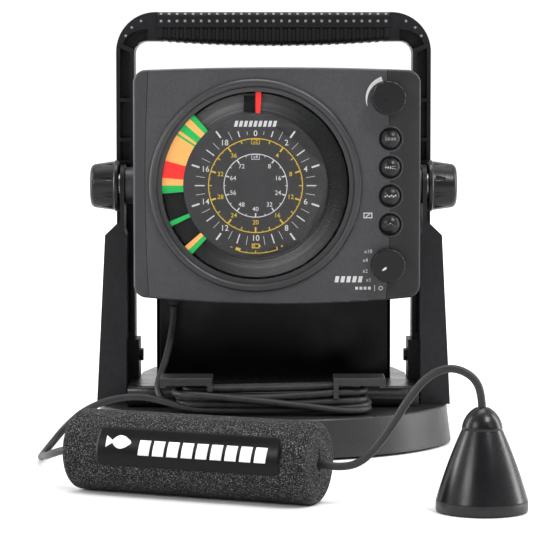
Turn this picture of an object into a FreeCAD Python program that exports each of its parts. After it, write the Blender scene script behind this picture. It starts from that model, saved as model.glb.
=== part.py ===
"""Portable fish finder: flasher head in a gimbal stand with battery case, float and transducer."""
import FreeCAD, Part
import math
import os
import Sketcher

V = FreeCAD.Vector
OUT_FOLDER = "parts"

# Driving dimensions, in millimetres and degrees.
DIMENSIONS = {
    # base tray
    "base_half_width": 125.0, "base_half_depth": 105.2, "base_side_radius": 75.0,
    "base_rear_corner": 45.0, "base_draft": 6.6, "base_top": 27.6, "base_underside": 1.6,
    "base_wall": 3.0, "foot_radius": 9.0, "foot_spread_x": 84.0, "foot_spread_y": 55.0,
    # raised deck
    "deck_top": 42.0, "deck_front": -30.0, "deck_half_width": 101.0, "deck_rear": 97.0,
    "deck_rear_half_width": 88.0, "deck_wall": 2.5, "knuckle_radius": 8.0, "knuckle_height": 35.2,
    "strip_half_length": 28.0,
    # gimbal stand
    "tilt_height": 180.0, "upright_foot_outer": 123.6, "upright_foot_inner": 102.9,
    "upright_shoulder_outer": 117.5, "upright_shoulder_height": 146.0, "upright_depth": 30.0,
    "ear_outer": 107.0, "ear_inner": 104.0, "ear_radius": 15.0, "ear_hole": 3.3,
    "friction_washer_radius": 12.0, "knob_washer_radius": 9.0, "knob_gap": 0.05,
    "gimbal_knob_radius": 18.0, "gimbal_knob_inner": 108.1, "gimbal_knob_outer": 128.1,
    "flute_radius": 3.2, "stud_radius": 2.9, "insert_bore": 3.0, "insert_radius": 5.0,
    "boss_radius": 13.0, "boss_face": 103.4, "boss_root": 88.0, "insert_root": 92.0,
    # carrying handle
    "handle_outer": 111.3, "handle_inner": 98.6, "handle_front": 19.0, "handle_depth": 24.0,
    "handle_foot": 45.0, "handle_top": 302.0, "handle_outer_corner": 28.0,
    "handle_inner_corner": 9.0, "handle_pocket_depth": 8.0, "handle_rail": 2.8,
    "bar_top": 299.0, "bar_bottom": 284.5, "grip_half_length": 82.0, "grip_bottom": 281.7,
    "grip_belly": 3.3, "grip_over": 2.0, "socket_outer": 114.0, "socket_inner": 95.8,
    "socket_front": 16.0, "socket_depth": 30.0, "socket_top": 70.0, "bolt_radius": 2.5,
    "bolt_height": 58.0, "bolt_head_radius": 4.5,
    # battery case
    "case_half_width": 84.0, "case_front": 32.0, "case_rear": 101.5, "case_top": 146.0,
    "case_wall": 2.0, "battery_length": 151.0, "battery_thick": 65.0, "battery_tall": 94.0,
    "lid_thick": 3.3, "hinge_y": 101.0, "hinge_z": 149.6, "hinge_radius": 3.2,
    "hinge_pin_radius": 1.5, "hinge_half_length": 60.0,
    # cable hooks
    "hook_y": -64.0, "left_hook_x": -50.5, "right_hook_x": 48.0, "hook_plate_top": 53.0,
    "hook_plate_thick": 2.5, "hook_plate_half_depth": 15.5, "post_width": 8.0, "post_depth": 10.0,
    "lip_thick": 1.8,
    # instrument head
    "head_left": -95.9, "head_right": 100.5, "head_top_corner": 260.5, "head_bottom_corner": 104.5,
    "head_top_crown": 1.8, "head_bottom_crown": 4.5, "head_corner": 9.0, "head_front": -46.0,
    "face_thick": 3.5, "shell_back": -30.0, "shell_wall": 3.0, "gasket_thick": 1.0,
    "housing_back": 16.0, "housing_draft": 8.0, "housing_wall": 2.5, "seam_gap": 0.3,
    "left_seam": -84.6, "right_seam": 76.5, "left_seam_bow": 1269.0, "right_seam_bow": 1218.0,
    "seam_low": 90.0, "seam_high": 275.0, "front_edge_round": 2.0,
    "screw_x": 69.0, "screw_rise": 62.0, "screw_radius": 1.9, "screw_centre_x": -9.0,
    # dial
    "dial_x": -12.3, "dial_z": 181.5, "bezel_outer": 73.0, "bezel_torus": 3.0, "well_radius": 64.3,
    "collar_wall": 1.0, "collar_back": -37.0, "lens_front": -44.5, "lens_thick": 1.5,
    "dial_face_radius": 49.5, "dial_face_thick": 1.2, "flasher_radius": 63.0,
    "flasher_front": -39.5, "flasher_thick": 1.5, "motor_radius": 15.0, "motor_front": -31.0,
    "board_front": -4.0, "board_thick": 1.6, "shaft_radius": 1.5, "hub_radius": 8.0,
    # controls
    "button_radius": 6.3, "button_flange": 7.4, "button_travel": 1.5, "button_x": 79.8,
    "dimple_radius": 8.0, "dimple_depth": 1.0, "control_knob_radius": 11.5, "control_knob_x": 78.3,
    "gain_z": 241.2, "range_z": 127.4, "knob_front": -58.5, "knob_back": -47.0,
    "control_shaft": 3.0, "control_board_front": -36.0, "pot_radius": 8.0, "pot_back": -27.0,
    # cable, float and transducer
    "cable_diameter": 4.8, "hank_inner": 6.5, "hank_width": 8.8, "hank_top": 47.5,
    "float_radius": 25.0, "float_round": 4.0, "float_bore": 2.6, "label_length": 122.0,
    "label_start": 24.6, "label_turn": 15.0, "label_height": 23.0, "label_thick": 0.4,
    "transducer_x": 122.0, "transducer_y": -306.0,
    "transducer_radius": 27.0, "transducer_band": 7.0, "transducer_neck": 11.9,
    "transducer_shoulder": 48.0, "transducer_top": 61.0, "transducer_wall": 3.0,
    "cone_bulge": 300.0, "cap_bulge": 16.0, "cap_tip": 3.8, "cap_notch": 2.0, "cap_socket": 6.0,
}

# Cable routes, point by point: hand-laid positions in millimetres.
DROP_ROUTE = [
    (-70, -10, 97), (-70, -10, 87), (-72, -20, 72), (-75, -31, 59.5), (-78.5, -41, 50),
    (-80, -51.5, 41), (-73.5, -57.5, 33), (-60, -57, 31),
]
LEAD_ROUTE = [
    (-57, -76.8, 31), (-74, -75.5, 37), (-92, -74, 40.5), (-112, -73, 37.5), (-129, -72.5, 30),
    (-141.5, -72.5, 18.5), (-149.5, -76, 8.8), (-154, -86, 3.6), (-155, -100, 2.6), (-153.2, -117, 5),
    (-150, -137, 8.6), (-146.6, -158, 11.4), (-143.6, -178, 14.6), (-139.6, -193.5, 17.8),
    (-133.5, -206.5, 21.4), (-122, -218.1, 25),
]
FLOAT_LEFT = (-120, -219, 25)
FLOAT_RIGHT = (27, -285, 25)
TAIL_ROUTE = [
    (27, -285, 25), (38, -289.5, 23.2), (50.5, -292, 25.5), (61, -294, 36), (71, -296, 51),
    (80.5, -298, 67), (91, -300, 79.5), (104, -302, 84.5), (116.5, -304.5, 79.5), (121.9, -306, 69),
    (122, -306, 55),
]

doc = FreeCAD.newDocument("FishFinder")
nodes = []


# ---------------------------------------------------------------- sizes from the sheet

class Size:
    """A number with the sheet expression that gives it."""

    def __init__(self, value, text):
        self.value = float(value)
        self.text = text

    def __add__(self, other):
        return joined(self, "+", other, self.value + number(other))

    def __radd__(self, other):
        return joined(other, "+", self, number(other) + self.value)

    def __sub__(self, other):
        return joined(self, "-", other, self.value - number(other))

    def __rsub__(self, other):
        return joined(other, "-", self, number(other) - self.value)

    def __mul__(self, other):
        return joined(self, "*", other, self.value * number(other))

    def __rmul__(self, other):
        return joined(other, "*", self, number(other) * self.value)

    def __truediv__(self, other):
        return joined(self, "/", other, self.value / number(other))

    def __neg__(self):
        return 0 - self


def number(value):
    return value.value if isinstance(value, Size) else float(value)


def text(value):
    return value.text if isinstance(value, Size) else "%.6f" % value


def joined(left, sign, right, value):
    return Size(value, "(%s %s %s)" % (text(left), sign, text(right)))


def bind(thing, path, value):
    thing.setExpression(path, text(value))


class Sheet:
    """The driving dimensions, as attributes."""


def make_sheet():
    sheet = doc.addObject("Spreadsheet::Sheet", "Sizes")
    sizes = Sheet()
    for row, (alias, value) in enumerate(DIMENSIONS.items(), start=1):
        sheet.set("A%d" % row, alias)
        sheet.set("B%d" % row, str(value))
        sheet.setAlias("B%d" % row, alias)
        setattr(sizes, alias, Size(value, "Sizes." + alias))
    doc.recompute()
    return sizes


D = make_sheet()


# ---------------------------------------------------------------- primitives and booleans

TURN_FOR_AXIS = {
    "x": FreeCAD.Rotation(V(0, 1, 0), 90),
    "y": FreeCAD.Rotation(V(1, 0, 0), -90),
    "z": FreeCAD.Rotation(),
}


def keep(thing, label):
    """Make an object a sub-part under the given name."""
    thing.Label = label
    nodes.append(thing)
    return thing


def place(thing, position, turn=None):
    thing.Placement = FreeCAD.Placement(V(*[number(p) for p in position]), turn or FreeCAD.Rotation())
    for letter, coordinate in zip("xyz", position):
        bind(thing, "Placement.Base." + letter, coordinate)
    return thing


def box(low, high):
    solid = doc.addObject("Part::Box", "Block")
    for side, start, end in zip(("Length", "Width", "Height"), low, high):
        bind(solid, side, end - start)
    return place(solid, low)


def cylinder(axis, start, radius, length):
    solid = doc.addObject("Part::Cylinder", "Round")
    bind(solid, "Radius", radius)
    bind(solid, "Height", length)
    return place(solid, start, TURN_FOR_AXIS[axis])


def cone(axis, start, first_radius, last_radius, length):
    solid = doc.addObject("Part::Cone", "Taper")
    bind(solid, "Radius1", first_radius)
    bind(solid, "Radius2", last_radius)
    bind(solid, "Height", length)
    return place(solid, start, TURN_FOR_AXIS[axis])


def fuse(*solids):
    whole = doc.addObject("Part::MultiFuse", "Joined")
    whole.Shapes = list(solids)
    whole.Refine = True
    return whole


def group(*solids):
    pieces = doc.addObject("Part::Compound", "Group")
    pieces.Links = list(solids)
    return pieces


def cut(base, *tools):
    for tool in tools:
        rest = doc.addObject("Part::Cut", "Trimmed")
        rest.Base = base
        rest.Tool = tool
        base = rest
    return base


def common(first, second):
    shared = doc.addObject("Part::MultiCommon", "Shared")
    shared.Shapes = [first, second]
    return shared


def tube(axis, start, radius, bore, length):
    return cut(cylinder(axis, start, radius, length), cylinder(axis, start, bore, length))


def rounded(base, radius, chosen):
    """Round the edges of base for which chosen(edge) is true."""
    doc.recompute()
    edges = [i for i, edge in enumerate(base.Shape.Edges, start=1) if chosen(edge)]
    soft = doc.addObject("Part::Fillet", "Softened")
    soft.Base = base
    soft.Edges = [(i, number(radius), number(radius)) for i in edges]
    return soft


def edge_at(letter, value, tolerance=0.01):
    """A test for edges that lie wholly at one coordinate."""
    def test(edge):
        box_of_edge = edge.BoundBox
        low = getattr(box_of_edge, letter.upper() + "Min")
        high = getattr(box_of_edge, letter.upper() + "Max")
        return abs(low - number(value)) < tolerance and abs(high - number(value)) < tolerance
    return test


# ---------------------------------------------------------------- sketched bodies

def body_with_sketch(name, plane_role):
    body = doc.addObject("PartDesign::Body", name)
    plane = [f for f in body.Origin.OriginFeatures if f.Role == plane_role][0]
    sketch = body.newObject("Sketcher::SketchObject", name + "Sketch")
    sketch.AttachmentSupport = [(plane, "")]
    sketch.MapMode = "FlatFace"
    return body, sketch


def arc_between(start, end, radius, turn):
    """The short arc from start to end; turn is +1 counter-clockwise, -1 clockwise."""
    middle = (start + end) * 0.5
    half = (end - start) * 0.5
    rise = math.sqrt(max(radius ** 2 - half.Length ** 2, 0.0))
    side = V(-half.y, half.x, 0).normalize() * (rise * turn)
    centre = middle + side
    first, last = (start, end) if turn > 0 else (end, start)
    first_angle = math.atan2(first.y - centre.y, first.x - centre.x)
    last_angle = math.atan2(last.y - centre.y, last.x - centre.x)
    if last_angle < first_angle:
        last_angle += 2 * math.pi
    return Part.ArcOfCircle(Part.Circle(centre, V(0, 0, 1), radius), first_angle, last_angle)


def draw(sketch, corners):
    """Draw a closed outline. A corner is (x, y) or, with an arc to the next, (x, y, radius, turn)."""
    points = [V(number(c[0]), number(c[1]), 0) for c in corners]
    segments = []
    for i, corner in enumerate(corners):
        start = points[i]
        end = points[(i + 1) % len(points)]
        if len(corner) == 2:
            segments.append((sketch.addGeometry(Part.LineSegment(start, end)), 1, 2))
            continue
        radius, turn = corner[2], corner[3]
        index = sketch.addGeometry(arc_between(start, end, number(radius), turn))
        segments.append((index, 1, 2) if turn > 0 else (index, 2, 1))
        row = sketch.addConstraint(Sketcher.Constraint("Radius", index, number(radius)))
        bind(sketch, "Constraints[%d]" % row, radius)
    for i, (index, head, tail) in enumerate(segments):
        after, after_head = segments[(i + 1) % len(segments)][:2]
        sketch.addConstraint(Sketcher.Constraint("Coincident", index, tail, after, after_head))
        for kind, value in (("DistanceX", corners[i][0]), ("DistanceY", corners[i][1])):
            row = sketch.addConstraint(Sketcher.Constraint(kind, index, head, number(value)))
            bind(sketch, "Constraints[%d]" % row, value)


def pad(name, plane_role, corners, length, position=(0, 0, 0), backward=False, draft=None):
    """A body padded from one outline. On XZ_Plane, backward pads towards +Y."""
    body, sketch = body_with_sketch(name, plane_role)
    draw(sketch, corners)
    feature = body.newObject("PartDesign::Pad", name + "Pad")
    feature.Profile = sketch
    bind(feature, "Length", length)
    feature.Reversed = backward
    if draft is not None:
        bind(feature, "TaperAngle", -draft)
    return place(body, position)


def turned(name, plane_role, corners, sketch_axis, position=(0, 0, 0), turn=None):
    """A body revolved from one outline about an axis of its sketch."""
    body, sketch = body_with_sketch(name, plane_role)
    draw(sketch, corners)
    feature = body.newObject("PartDesign::Revolution", name + "Revolution")
    feature.Profile = sketch
    feature.ReferenceAxis = (sketch, [sketch_axis])
    feature.Angle = 360
    return place(body, position, turn)


def crown_radius(half_chord, rise):
    """Radius of the arc that rises by the given amount over a chord."""
    return (half_chord * half_chord + rise * rise) / (2 * rise)


# ---------------------------------------------------------------- base tray and deck

def base_outline(inset):
    """Plan of the tray: three-centred bow in front, square with round corners behind."""
    width = D.base_half_width - inset
    depth = D.base_half_depth - inset
    side = D.base_side_radius - inset
    reach = width - side
    bow = (reach * reach + depth * depth - side * side) / (2 * (depth - side))
    share = bow / (bow - side)
    join_x = reach * share
    join_y = (bow - depth) * (1 - share)
    corner = D.base_rear_corner - inset
    return [
        (width, 0), (width, depth - corner, corner, 1), (width - corner, depth),
        (-(width - corner), depth, corner, 1), (-width, depth - corner),
        (-width, 0, side, 1), (-join_x, join_y, bow, 1), (join_x, join_y, side, 1),
    ]


def make_base():
    rise = D.base_top - D.base_underside
    tray = pad("TrayOuter", "XY_Plane", base_outline(0), rise, (0, 0, D.base_underside), draft=D.base_draft)
    hollow = pad("TrayInner", "XY_Plane", base_outline(D.base_wall), rise - D.base_wall,
                 (0, 0, D.base_underside), draft=D.base_draft)
    soft_tray = rounded(tray, 1.6, edge_at("z", D.base_top))
    keep(cut(soft_tray, hollow), "base_shell")
    keep(pad("BottomPlate", "XY_Plane", base_outline(D.base_wall + 0.8), 2.4, (0, 0, D.base_underside)),
         "bottom_plate")
    feet = []
    for x in (-D.foot_spread_x, D.foot_spread_x):
        for y in (-D.foot_spread_y, D.foot_spread_y):
            feet.append(cone("z", (x, y, 0), D.foot_radius - 1, D.foot_radius, D.base_underside))
    keep(group(*feet), "base_feet")


def make_deck():
    top = D.deck_top - D.base_top
    front_width, rear_width = D.deck_half_width, D.deck_rear_half_width
    side = D.socket_inner - 0.3
    step = D.socket_front - 0.8

    def plan(inset):
        wide, narrow, rear = front_width - inset, rear_width - inset, D.deck_rear - inset
        return [
            (-wide, D.deck_front + inset), (wide, D.deck_front + inset), (wide, step - inset),
            (side - inset, step - inset), (side - inset, 60), (narrow, rear), (-narrow, rear),
            (-(side - inset), 60), (-(side - inset), step - inset), (-wide, step - inset),
        ]
    slab = pad("DeckSlab", "XY_Plane", plan(0), top, (0, 0, D.base_top))
    ridges = [
        cylinder("x", (x, D.deck_front, D.knuckle_height - 0.6), D.knuckle_radius - 1, length)
        for x, length in ((-101, 35), (61, 32))
    ]
    hollow = pad("DeckHollow", "XY_Plane", plan(D.deck_wall + 6), top - D.deck_wall, (0, 0, D.base_top))
    recess = box((-D.strip_half_length, D.deck_front - 1, D.deck_top - 3),
                 (D.strip_half_length + 4, D.deck_front + 16, D.deck_top + 1))
    keep(cut(fuse(slab, *ridges), hollow, recess), "deck_platform")
    keep(box((-D.strip_half_length + 2, D.deck_front + 0.5, D.deck_top - 3),
             (D.strip_half_length - 2, D.deck_front + 14, D.deck_top - 1.6)), "deck_strip")


# ---------------------------------------------------------------- cable hooks

def make_hook(label, post_x, plate_low, plate_high, low_tip_side, low_tip_bottom):
    under = D.hook_plate_top - D.hook_plate_thick
    front = D.hook_y - D.hook_plate_half_depth - 2
    back = D.hook_y + D.hook_plate_half_depth - 2
    post = box((post_x - D.post_width / 2, D.hook_y - D.post_depth / 2, D.base_top),
               (post_x + D.post_width / 2, D.hook_y + D.post_depth / 2, under + 1))
    plate = box((plate_low, front, under), (plate_high, back, D.hook_plate_top))
    lip = box((plate_low, front, under - 2.5), (plate_high, front + D.lip_thick, under + 1))
    low_tip_start = plate_high - 3.4 if low_tip_side > 0 else plate_low
    short_tip_start = plate_low if low_tip_side > 0 else plate_high - 4
    low_tip = box((low_tip_start, front, low_tip_bottom),
                  (low_tip_start + 3.4, front + D.lip_thick, under + 1))
    short_tip = box((short_tip_start, front, under - 4),
                    (short_tip_start + 4, front + D.lip_thick, under + 1))
    hook = fuse(post, plate, lip, low_tip, short_tip)
    keep(rounded(hook, 0.8, edge_at("z", D.hook_plate_top)), label)


def make_hooks():
    make_hook("left_cable_hook", D.left_hook_x, D.left_hook_x - 26.1, D.left_hook_x + 9.2, 1, 44)
    make_hook("right_cable_hook", D.right_hook_x, D.right_hook_x - 7.5, D.right_hook_x + 27.6, -1, 39)


# ---------------------------------------------------------------- gimbal uprights and knobs

def make_upright(label, side):
    top = D.tilt_height
    shoulder = D.upright_shoulder_height
    corners = [
        (side * D.upright_foot_outer, D.base_top), (side * D.upright_shoulder_outer, shoulder),
        (side * D.ear_outer, shoulder + 10), (side * D.ear_outer, top), (side * D.ear_inner, top),
        (side * D.ear_inner, shoulder + 4), (side * D.upright_foot_inner, shoulder),
        (side * D.upright_foot_inner, D.base_top),
    ]
    if side > 0:
        corners = corners[::-1]
    half = D.upright_depth / 2
    plate = pad("Upright", "XZ_Plane", corners, D.upright_depth, (0, -half, 0), backward=True)
    ear_start = -D.ear_outer if side < 0 else D.ear_inner
    ear_thick = D.ear_outer - D.ear_inner
    ear = cylinder("x", (ear_start, 0, top), D.ear_radius, ear_thick)
    hole = cylinder("x", (ear_start - 1, 0, top), D.ear_hole, ear_thick + 2)
    channel_low = D.upright_foot_inner + 4
    channel_x = (side * channel_low) if side > 0 else -(channel_low + 9.5)
    channel = box((channel_x, half - 6, D.base_top + 6), (channel_x + 9.5, half + 1, shoulder - 8))
    keep(cut(fuse(plate, ear), hole, channel), label)


def make_friction_washers():
    thick = D.ear_inner - D.boss_face - 0.1
    rings = [
        tube("x", (x, 0, D.tilt_height), D.friction_washer_radius, D.ear_hole, thick)
        for x in (-D.ear_inner, D.ear_inner - thick)
    ]
    keep(group(*rings), "friction_washers")


def make_gimbal_knob(side_name, side):
    """A fluted knob, its threaded stud and the washer under it, turned on the tilt axis."""
    inner, outer = D.gimbal_knob_inner, D.gimbal_knob_outer
    radius = D.gimbal_knob_radius
    profile = [
        (inner, 0), (inner, radius - 0.6), (inner + 0.8, radius), (inner + 2.6, radius),
        (inner + 3.4, radius - 0.8), (outer - 4, radius - 2.6, 4.2, -1), (outer, radius - 6.4),
        (outer, radius - 8), (outer - 1.2, radius - 9), (outer - 1.2, 0),
    ]
    facing = FreeCAD.Rotation() if side > 0 else FreeCAD.Rotation(V(0, 0, 1), 180)
    blank = turned("KnobBlank", "XZ_Plane", profile, "H_Axis", (0, 0, D.tilt_height), facing)
    flutes = []
    flute_count = 9
    for i in range(flute_count):
        angle = 2 * math.pi * i / flute_count
        reach = radius + D.flute_radius * 0.35
        start = inner + 4.6 if side > 0 else -(outer + 1)
        flutes.append(cylinder(
            "x", (start, reach * math.cos(angle), D.tilt_height + reach * math.sin(angle)),
            D.flute_radius, outer - inner - 3.6))
    bore_depth = 12
    stud_start = D.insert_root + 0.5
    stud_length = inner + bore_depth - stud_start
    stud_low = stud_start if side > 0 else -(inner + bore_depth)
    stud = cylinder("x", (stud_low, 0, D.tilt_height), D.stud_radius, stud_length)
    keep(cut(blank, group(*flutes), stud), side_name + "_gimbal_knob")
    keep(cylinder("x", (stud_low, 0, D.tilt_height), D.stud_radius, stud_length), side_name + "_knob_stud")
    washer_thick = inner - D.ear_outer - D.knob_gap
    washer_low = D.ear_outer + D.knob_gap if side > 0 else -inner
    keep(tube("x", (washer_low, 0, D.tilt_height), D.knob_washer_radius, D.stud_radius + 0.1, washer_thick),
         side_name + "_knob_washer")


# ---------------------------------------------------------------- carrying handle

def make_handle():
    outer, inner = D.handle_outer, D.handle_inner
    big, small = D.handle_outer_corner, D.handle_inner_corner
    foot, top = D.handle_foot, D.handle_top
    half_grip = D.grip_half_length
    front, depth = D.handle_front, D.handle_depth
    inner_top = D.grip_bottom
    frame_outline = [
        (-outer, foot), (-inner, foot), (-inner, inner_top - small, small, -1),
        (-(inner - small), inner_top), (-half_grip, inner_top), (-half_grip, D.bar_bottom),
        (half_grip, D.bar_bottom), (half_grip, inner_top), (inner - small, inner_top, small, -1),
        (inner, inner_top - small), (inner, foot), (outer, foot), (outer, top - big, big, 1),
        (outer - big, top), (half_grip, top), (half_grip, D.bar_top), (-half_grip, D.bar_top),
        (-half_grip, top), (-(outer - big), top, big, 1), (-outer, top - big),
    ]
    blank = pad("HandleBlank", "XZ_Plane", frame_outline, depth, (0, front, 0), backward=True)
    rail = D.handle_rail
    pockets = []
    rib_heights = (D.socket_top + 4, 118, 196.4, 212, 240)
    for low, high in zip(rib_heights, rib_heights[1:] + (top - big - 4,)):
        for left in (-(outer - rail), inner + rail):
            for start in (front - 1, front + depth - D.handle_pocket_depth):
                pockets.append(box((left, start, low + 1.2), (left + outer - inner - 2 * rail,
                                   start + D.handle_pocket_depth + 1, high - 1.2)))
    bolt_holes = [
        cylinder("x", (x, front + depth / 2, D.bolt_height), D.bolt_radius, outer - inner + 4)
        for x in (-outer - 2, inner - 2)
    ]
    frame = cut(blank, group(*pockets), group(*bolt_holes))
    keep(frame, "handle_frame")

    grip_outline = [
        (-half_grip, D.grip_bottom, crown_radius(half_grip, D.grip_belly), 1), (half_grip, D.grip_bottom),
        (half_grip, top), (-half_grip, top),
    ]
    over = D.grip_over
    grip = pad("GripBlank", "XZ_Plane", grip_outline, depth + 2 * over, (0, front - over, 0), backward=True)
    bar = box((-half_grip, front, D.bar_bottom), (half_grip, front + depth, D.bar_top))
    keep(cut(grip, bar), "handle_grip")

    bolts = []
    for side, side_name in ((-1, "left"), (1, "right")):
        low_x = -D.socket_outer if side < 0 else D.socket_inner
        width = D.socket_outer - D.socket_inner
        block = box((low_x, D.socket_front, D.base_top),
                    (low_x + width, D.socket_front + D.socket_depth, D.socket_top))
        leg_low = -outer if side < 0 else inner
        leg = box((leg_low, front, foot), (leg_low + outer - inner, front + depth, D.socket_top + 1))
        centre_y = front + depth / 2
        drilled = cylinder("x", (low_x - 1, centre_y, D.bolt_height), D.bolt_radius, width + 2)
        keep(cut(block, leg, drilled), side_name + "_handle_socket")
        head_low = -(D.socket_outer + 2.6) if side < 0 else D.socket_outer
        nut_low = -D.socket_inner if side < 0 else D.socket_inner - 2.6
        bolts.append(fuse(
            cylinder("x", (low_x, centre_y, D.bolt_height), D.bolt_radius, width),
            cylinder("x", (head_low, centre_y, D.bolt_height), D.bolt_head_radius, 2.6),
            cylinder("x", (nut_low, centre_y, D.bolt_height), D.bolt_head_radius, 2.6)))
    keep(group(*bolts), "handle_bolts")


# ---------------------------------------------------------------- battery case

def make_battery_case():
    width, wall = D.case_half_width, D.case_wall
    outside = box((-width, D.case_front, D.deck_top), (width, D.case_rear, D.case_top))
    soft = rounded(outside, 3.0, lambda edge: edge.BoundBox.ZLength > 50)
    inside = box((-(width - wall), D.case_front + wall, D.deck_top + wall),
                 (width - wall, D.case_rear - wall, D.case_top + 1))
    middle = D.hinge_half_length / 2 - 0.3
    web = box((-middle, D.hinge_y - 2, D.case_top - 3), (middle, D.hinge_y + 0.5, D.hinge_z))
    knuckle = cylinder("x", (-middle, D.hinge_y, D.hinge_z), D.hinge_radius, 2 * middle)
    pin_hole = cylinder("x", (-D.hinge_half_length, D.hinge_y, D.hinge_z), D.hinge_pin_radius,
                        2 * D.hinge_half_length)
    keep(cut(fuse(cut(soft, inside), web, knuckle), pin_hole), "battery_case")

    half_length, half_thick = D.battery_length / 2, D.battery_thick / 2
    centre_y = (D.case_front + D.case_rear) / 2
    floor = D.deck_top + wall
    block = box((-half_length, centre_y - half_thick, floor),
                (half_length, centre_y + half_thick, floor + D.battery_tall))
    terminals = [
        box((x, centre_y - 3, floor + D.battery_tall - 1),
            (x + 0.8, centre_y + 3, floor + D.battery_tall + 5))
        for x in (-60, 60)
    ]
    keep(fuse(block, *terminals), "battery")

    lid_low = D.case_top + 0.2
    plate = box((-width, D.case_front + 0.3, lid_low), (width, D.hinge_y - 4, lid_low + D.lid_thick))
    tab = box((-12, D.case_front - 2, lid_low + 1), (12, D.case_front + 1, lid_low + D.lid_thick))
    parts = [plate, tab]
    for x in (-D.hinge_half_length, D.hinge_half_length / 2):
        length = D.hinge_half_length / 2
        parts.append(box((x, D.hinge_y - 5, lid_low + 0.9), (x + length, D.hinge_y, lid_low + D.lid_thick)))
        parts.append(cylinder("x", (x, D.hinge_y, D.hinge_z), D.hinge_radius, length))
    running_hole = cylinder("x", (-D.hinge_half_length - 1, D.hinge_y, D.hinge_z),
                            D.hinge_pin_radius + 0.06, 2 * D.hinge_half_length + 2)
    keep(cut(fuse(*parts), running_hole), "battery_lid")
    keep(cylinder("x", (-D.hinge_half_length, D.hinge_y, D.hinge_z), D.hinge_pin_radius,
                  2 * D.hinge_half_length), "lid_hinge_pin")


# ---------------------------------------------------------------- instrument head

def head_outline(inset):
    """Front outline of the head: crowned top and bottom, rounded corners."""
    left, right = D.head_left + inset, D.head_right - inset
    top, bottom = D.head_top_corner - inset, D.head_bottom_corner + inset
    corner = D.head_corner - inset * 0.6
    half_chord = (right - left) / 2 - corner
    top_bow = crown_radius(half_chord, D.head_top_crown)
    bottom_bow = crown_radius(half_chord, D.head_bottom_crown)
    return [
        (left, bottom + corner, corner, 1), (left + corner, bottom, bottom_bow, 1),
        (right - corner, bottom, corner, 1), (right, bottom + corner), (right, top - corner, corner, 1),
        (right - corner, top, top_bow, 1), (left + corner, top, corner, 1), (left, top - corner),
    ]


def housing_outline(inset):
    """Outline of the rear housing: a plain rectangle with round corners."""
    left, right = D.head_left + inset, D.head_right - inset
    top, bottom = D.head_top_corner - inset, D.head_bottom_corner + inset
    corner = D.head_corner + 4 - inset
    return [
        (left, bottom + corner, corner, 1), (left + corner, bottom), (right - corner, bottom, corner, 1),
        (right, bottom + corner), (right, top - corner, corner, 1), (right - corner, top),
        (left + corner, top, corner, 1), (left, top - corner),
    ]


def control_places():
    """Centres (x, z) of the buttons and of the knobs."""
    button_heights = (213.5, 194.1, 174.6, 155.0)
    buttons = [(D.button_x, height) for height in button_heights]
    knobs = [(D.control_knob_x, D.gain_z), (D.control_knob_x, D.range_z)]
    return buttons, knobs


def screw_places():
    return [
        (D.screw_centre_x + side * D.screw_x, D.dial_z + rise * D.screw_rise)
        for side in (-1, 1) for rise in (-1, 1)
    ]


def make_head_shell():
    front = D.head_front
    depth = D.shell_back - front
    blank = pad("FaceBlank", "XZ_Plane", head_outline(0), depth, (0, front, 0), backward=True)
    soft = rounded(blank, D.front_edge_round, edge_at("y", front))
    inside = pad("FaceInside", "XZ_Plane", head_outline(D.shell_wall), depth, (0, front + D.face_thick, 0),
                 backward=True)
    shell = cut(soft, inside)

    low, high, reach = D.seam_low, D.seam_high, 20
    left_bow, right_bow = D.left_seam_bow, D.right_seam_bow
    left_zone = pad("LeftZone", "XZ_Plane", [
        (D.head_left - reach, low), (D.left_seam, low, left_bow, -1), (D.left_seam, high),
        (D.head_left - reach, high)], 60, (0, front - 5, 0), backward=True)
    right_zone = pad("RightZone", "XZ_Plane", [
        (D.right_seam, low), (D.head_right + reach, low), (D.head_right + reach, high),
        (D.right_seam, high, right_bow, -1)], 60, (0, front - 5, 0), backward=True)
    gap = D.seam_gap
    middle_zone = pad("MiddleZone", "XZ_Plane", [
        (D.left_seam + gap, low), (D.right_seam - gap, low, right_bow, 1), (D.right_seam - gap, high),
        (D.left_seam + gap, high, left_bow, 1)], 60, (0, front - 5, 0), backward=True)

    openings = [cylinder("y", (D.dial_x, front - 1, D.dial_z), D.well_radius + D.collar_wall, 12)]
    buttons, knobs = control_places()
    for x, z in buttons:
        openings.append(cylinder("y", (x, front - 1, z), D.button_radius + 0.3, 8))
        openings.append(cylinder("y", (x, front - 1, z), D.dimple_radius, D.dimple_depth + 1))
    for x, z in knobs:
        openings.append(cylinder("y", (x, front - 1, z), D.control_shaft + 1.5, 8))
    all_openings = fuse(*openings)
    bosses = [cylinder("y", (x, front + D.face_thick - 0.5, z), 4.5, depth - D.face_thick + 0.5)
              for x, z in screw_places()]
    threads = group(*[cylinder("y", (x, D.shell_back - 10, z), D.screw_radius, 11)
                      for x, z in screw_places()])
    middle = fuse(common(shell, middle_zone), *bosses)
    keep(cut(middle, all_openings, threads), "front_panel")
    keep(common(shell, left_zone), "left_side_trim")
    keep(cut(common(shell, right_zone), all_openings), "control_strip")


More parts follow.
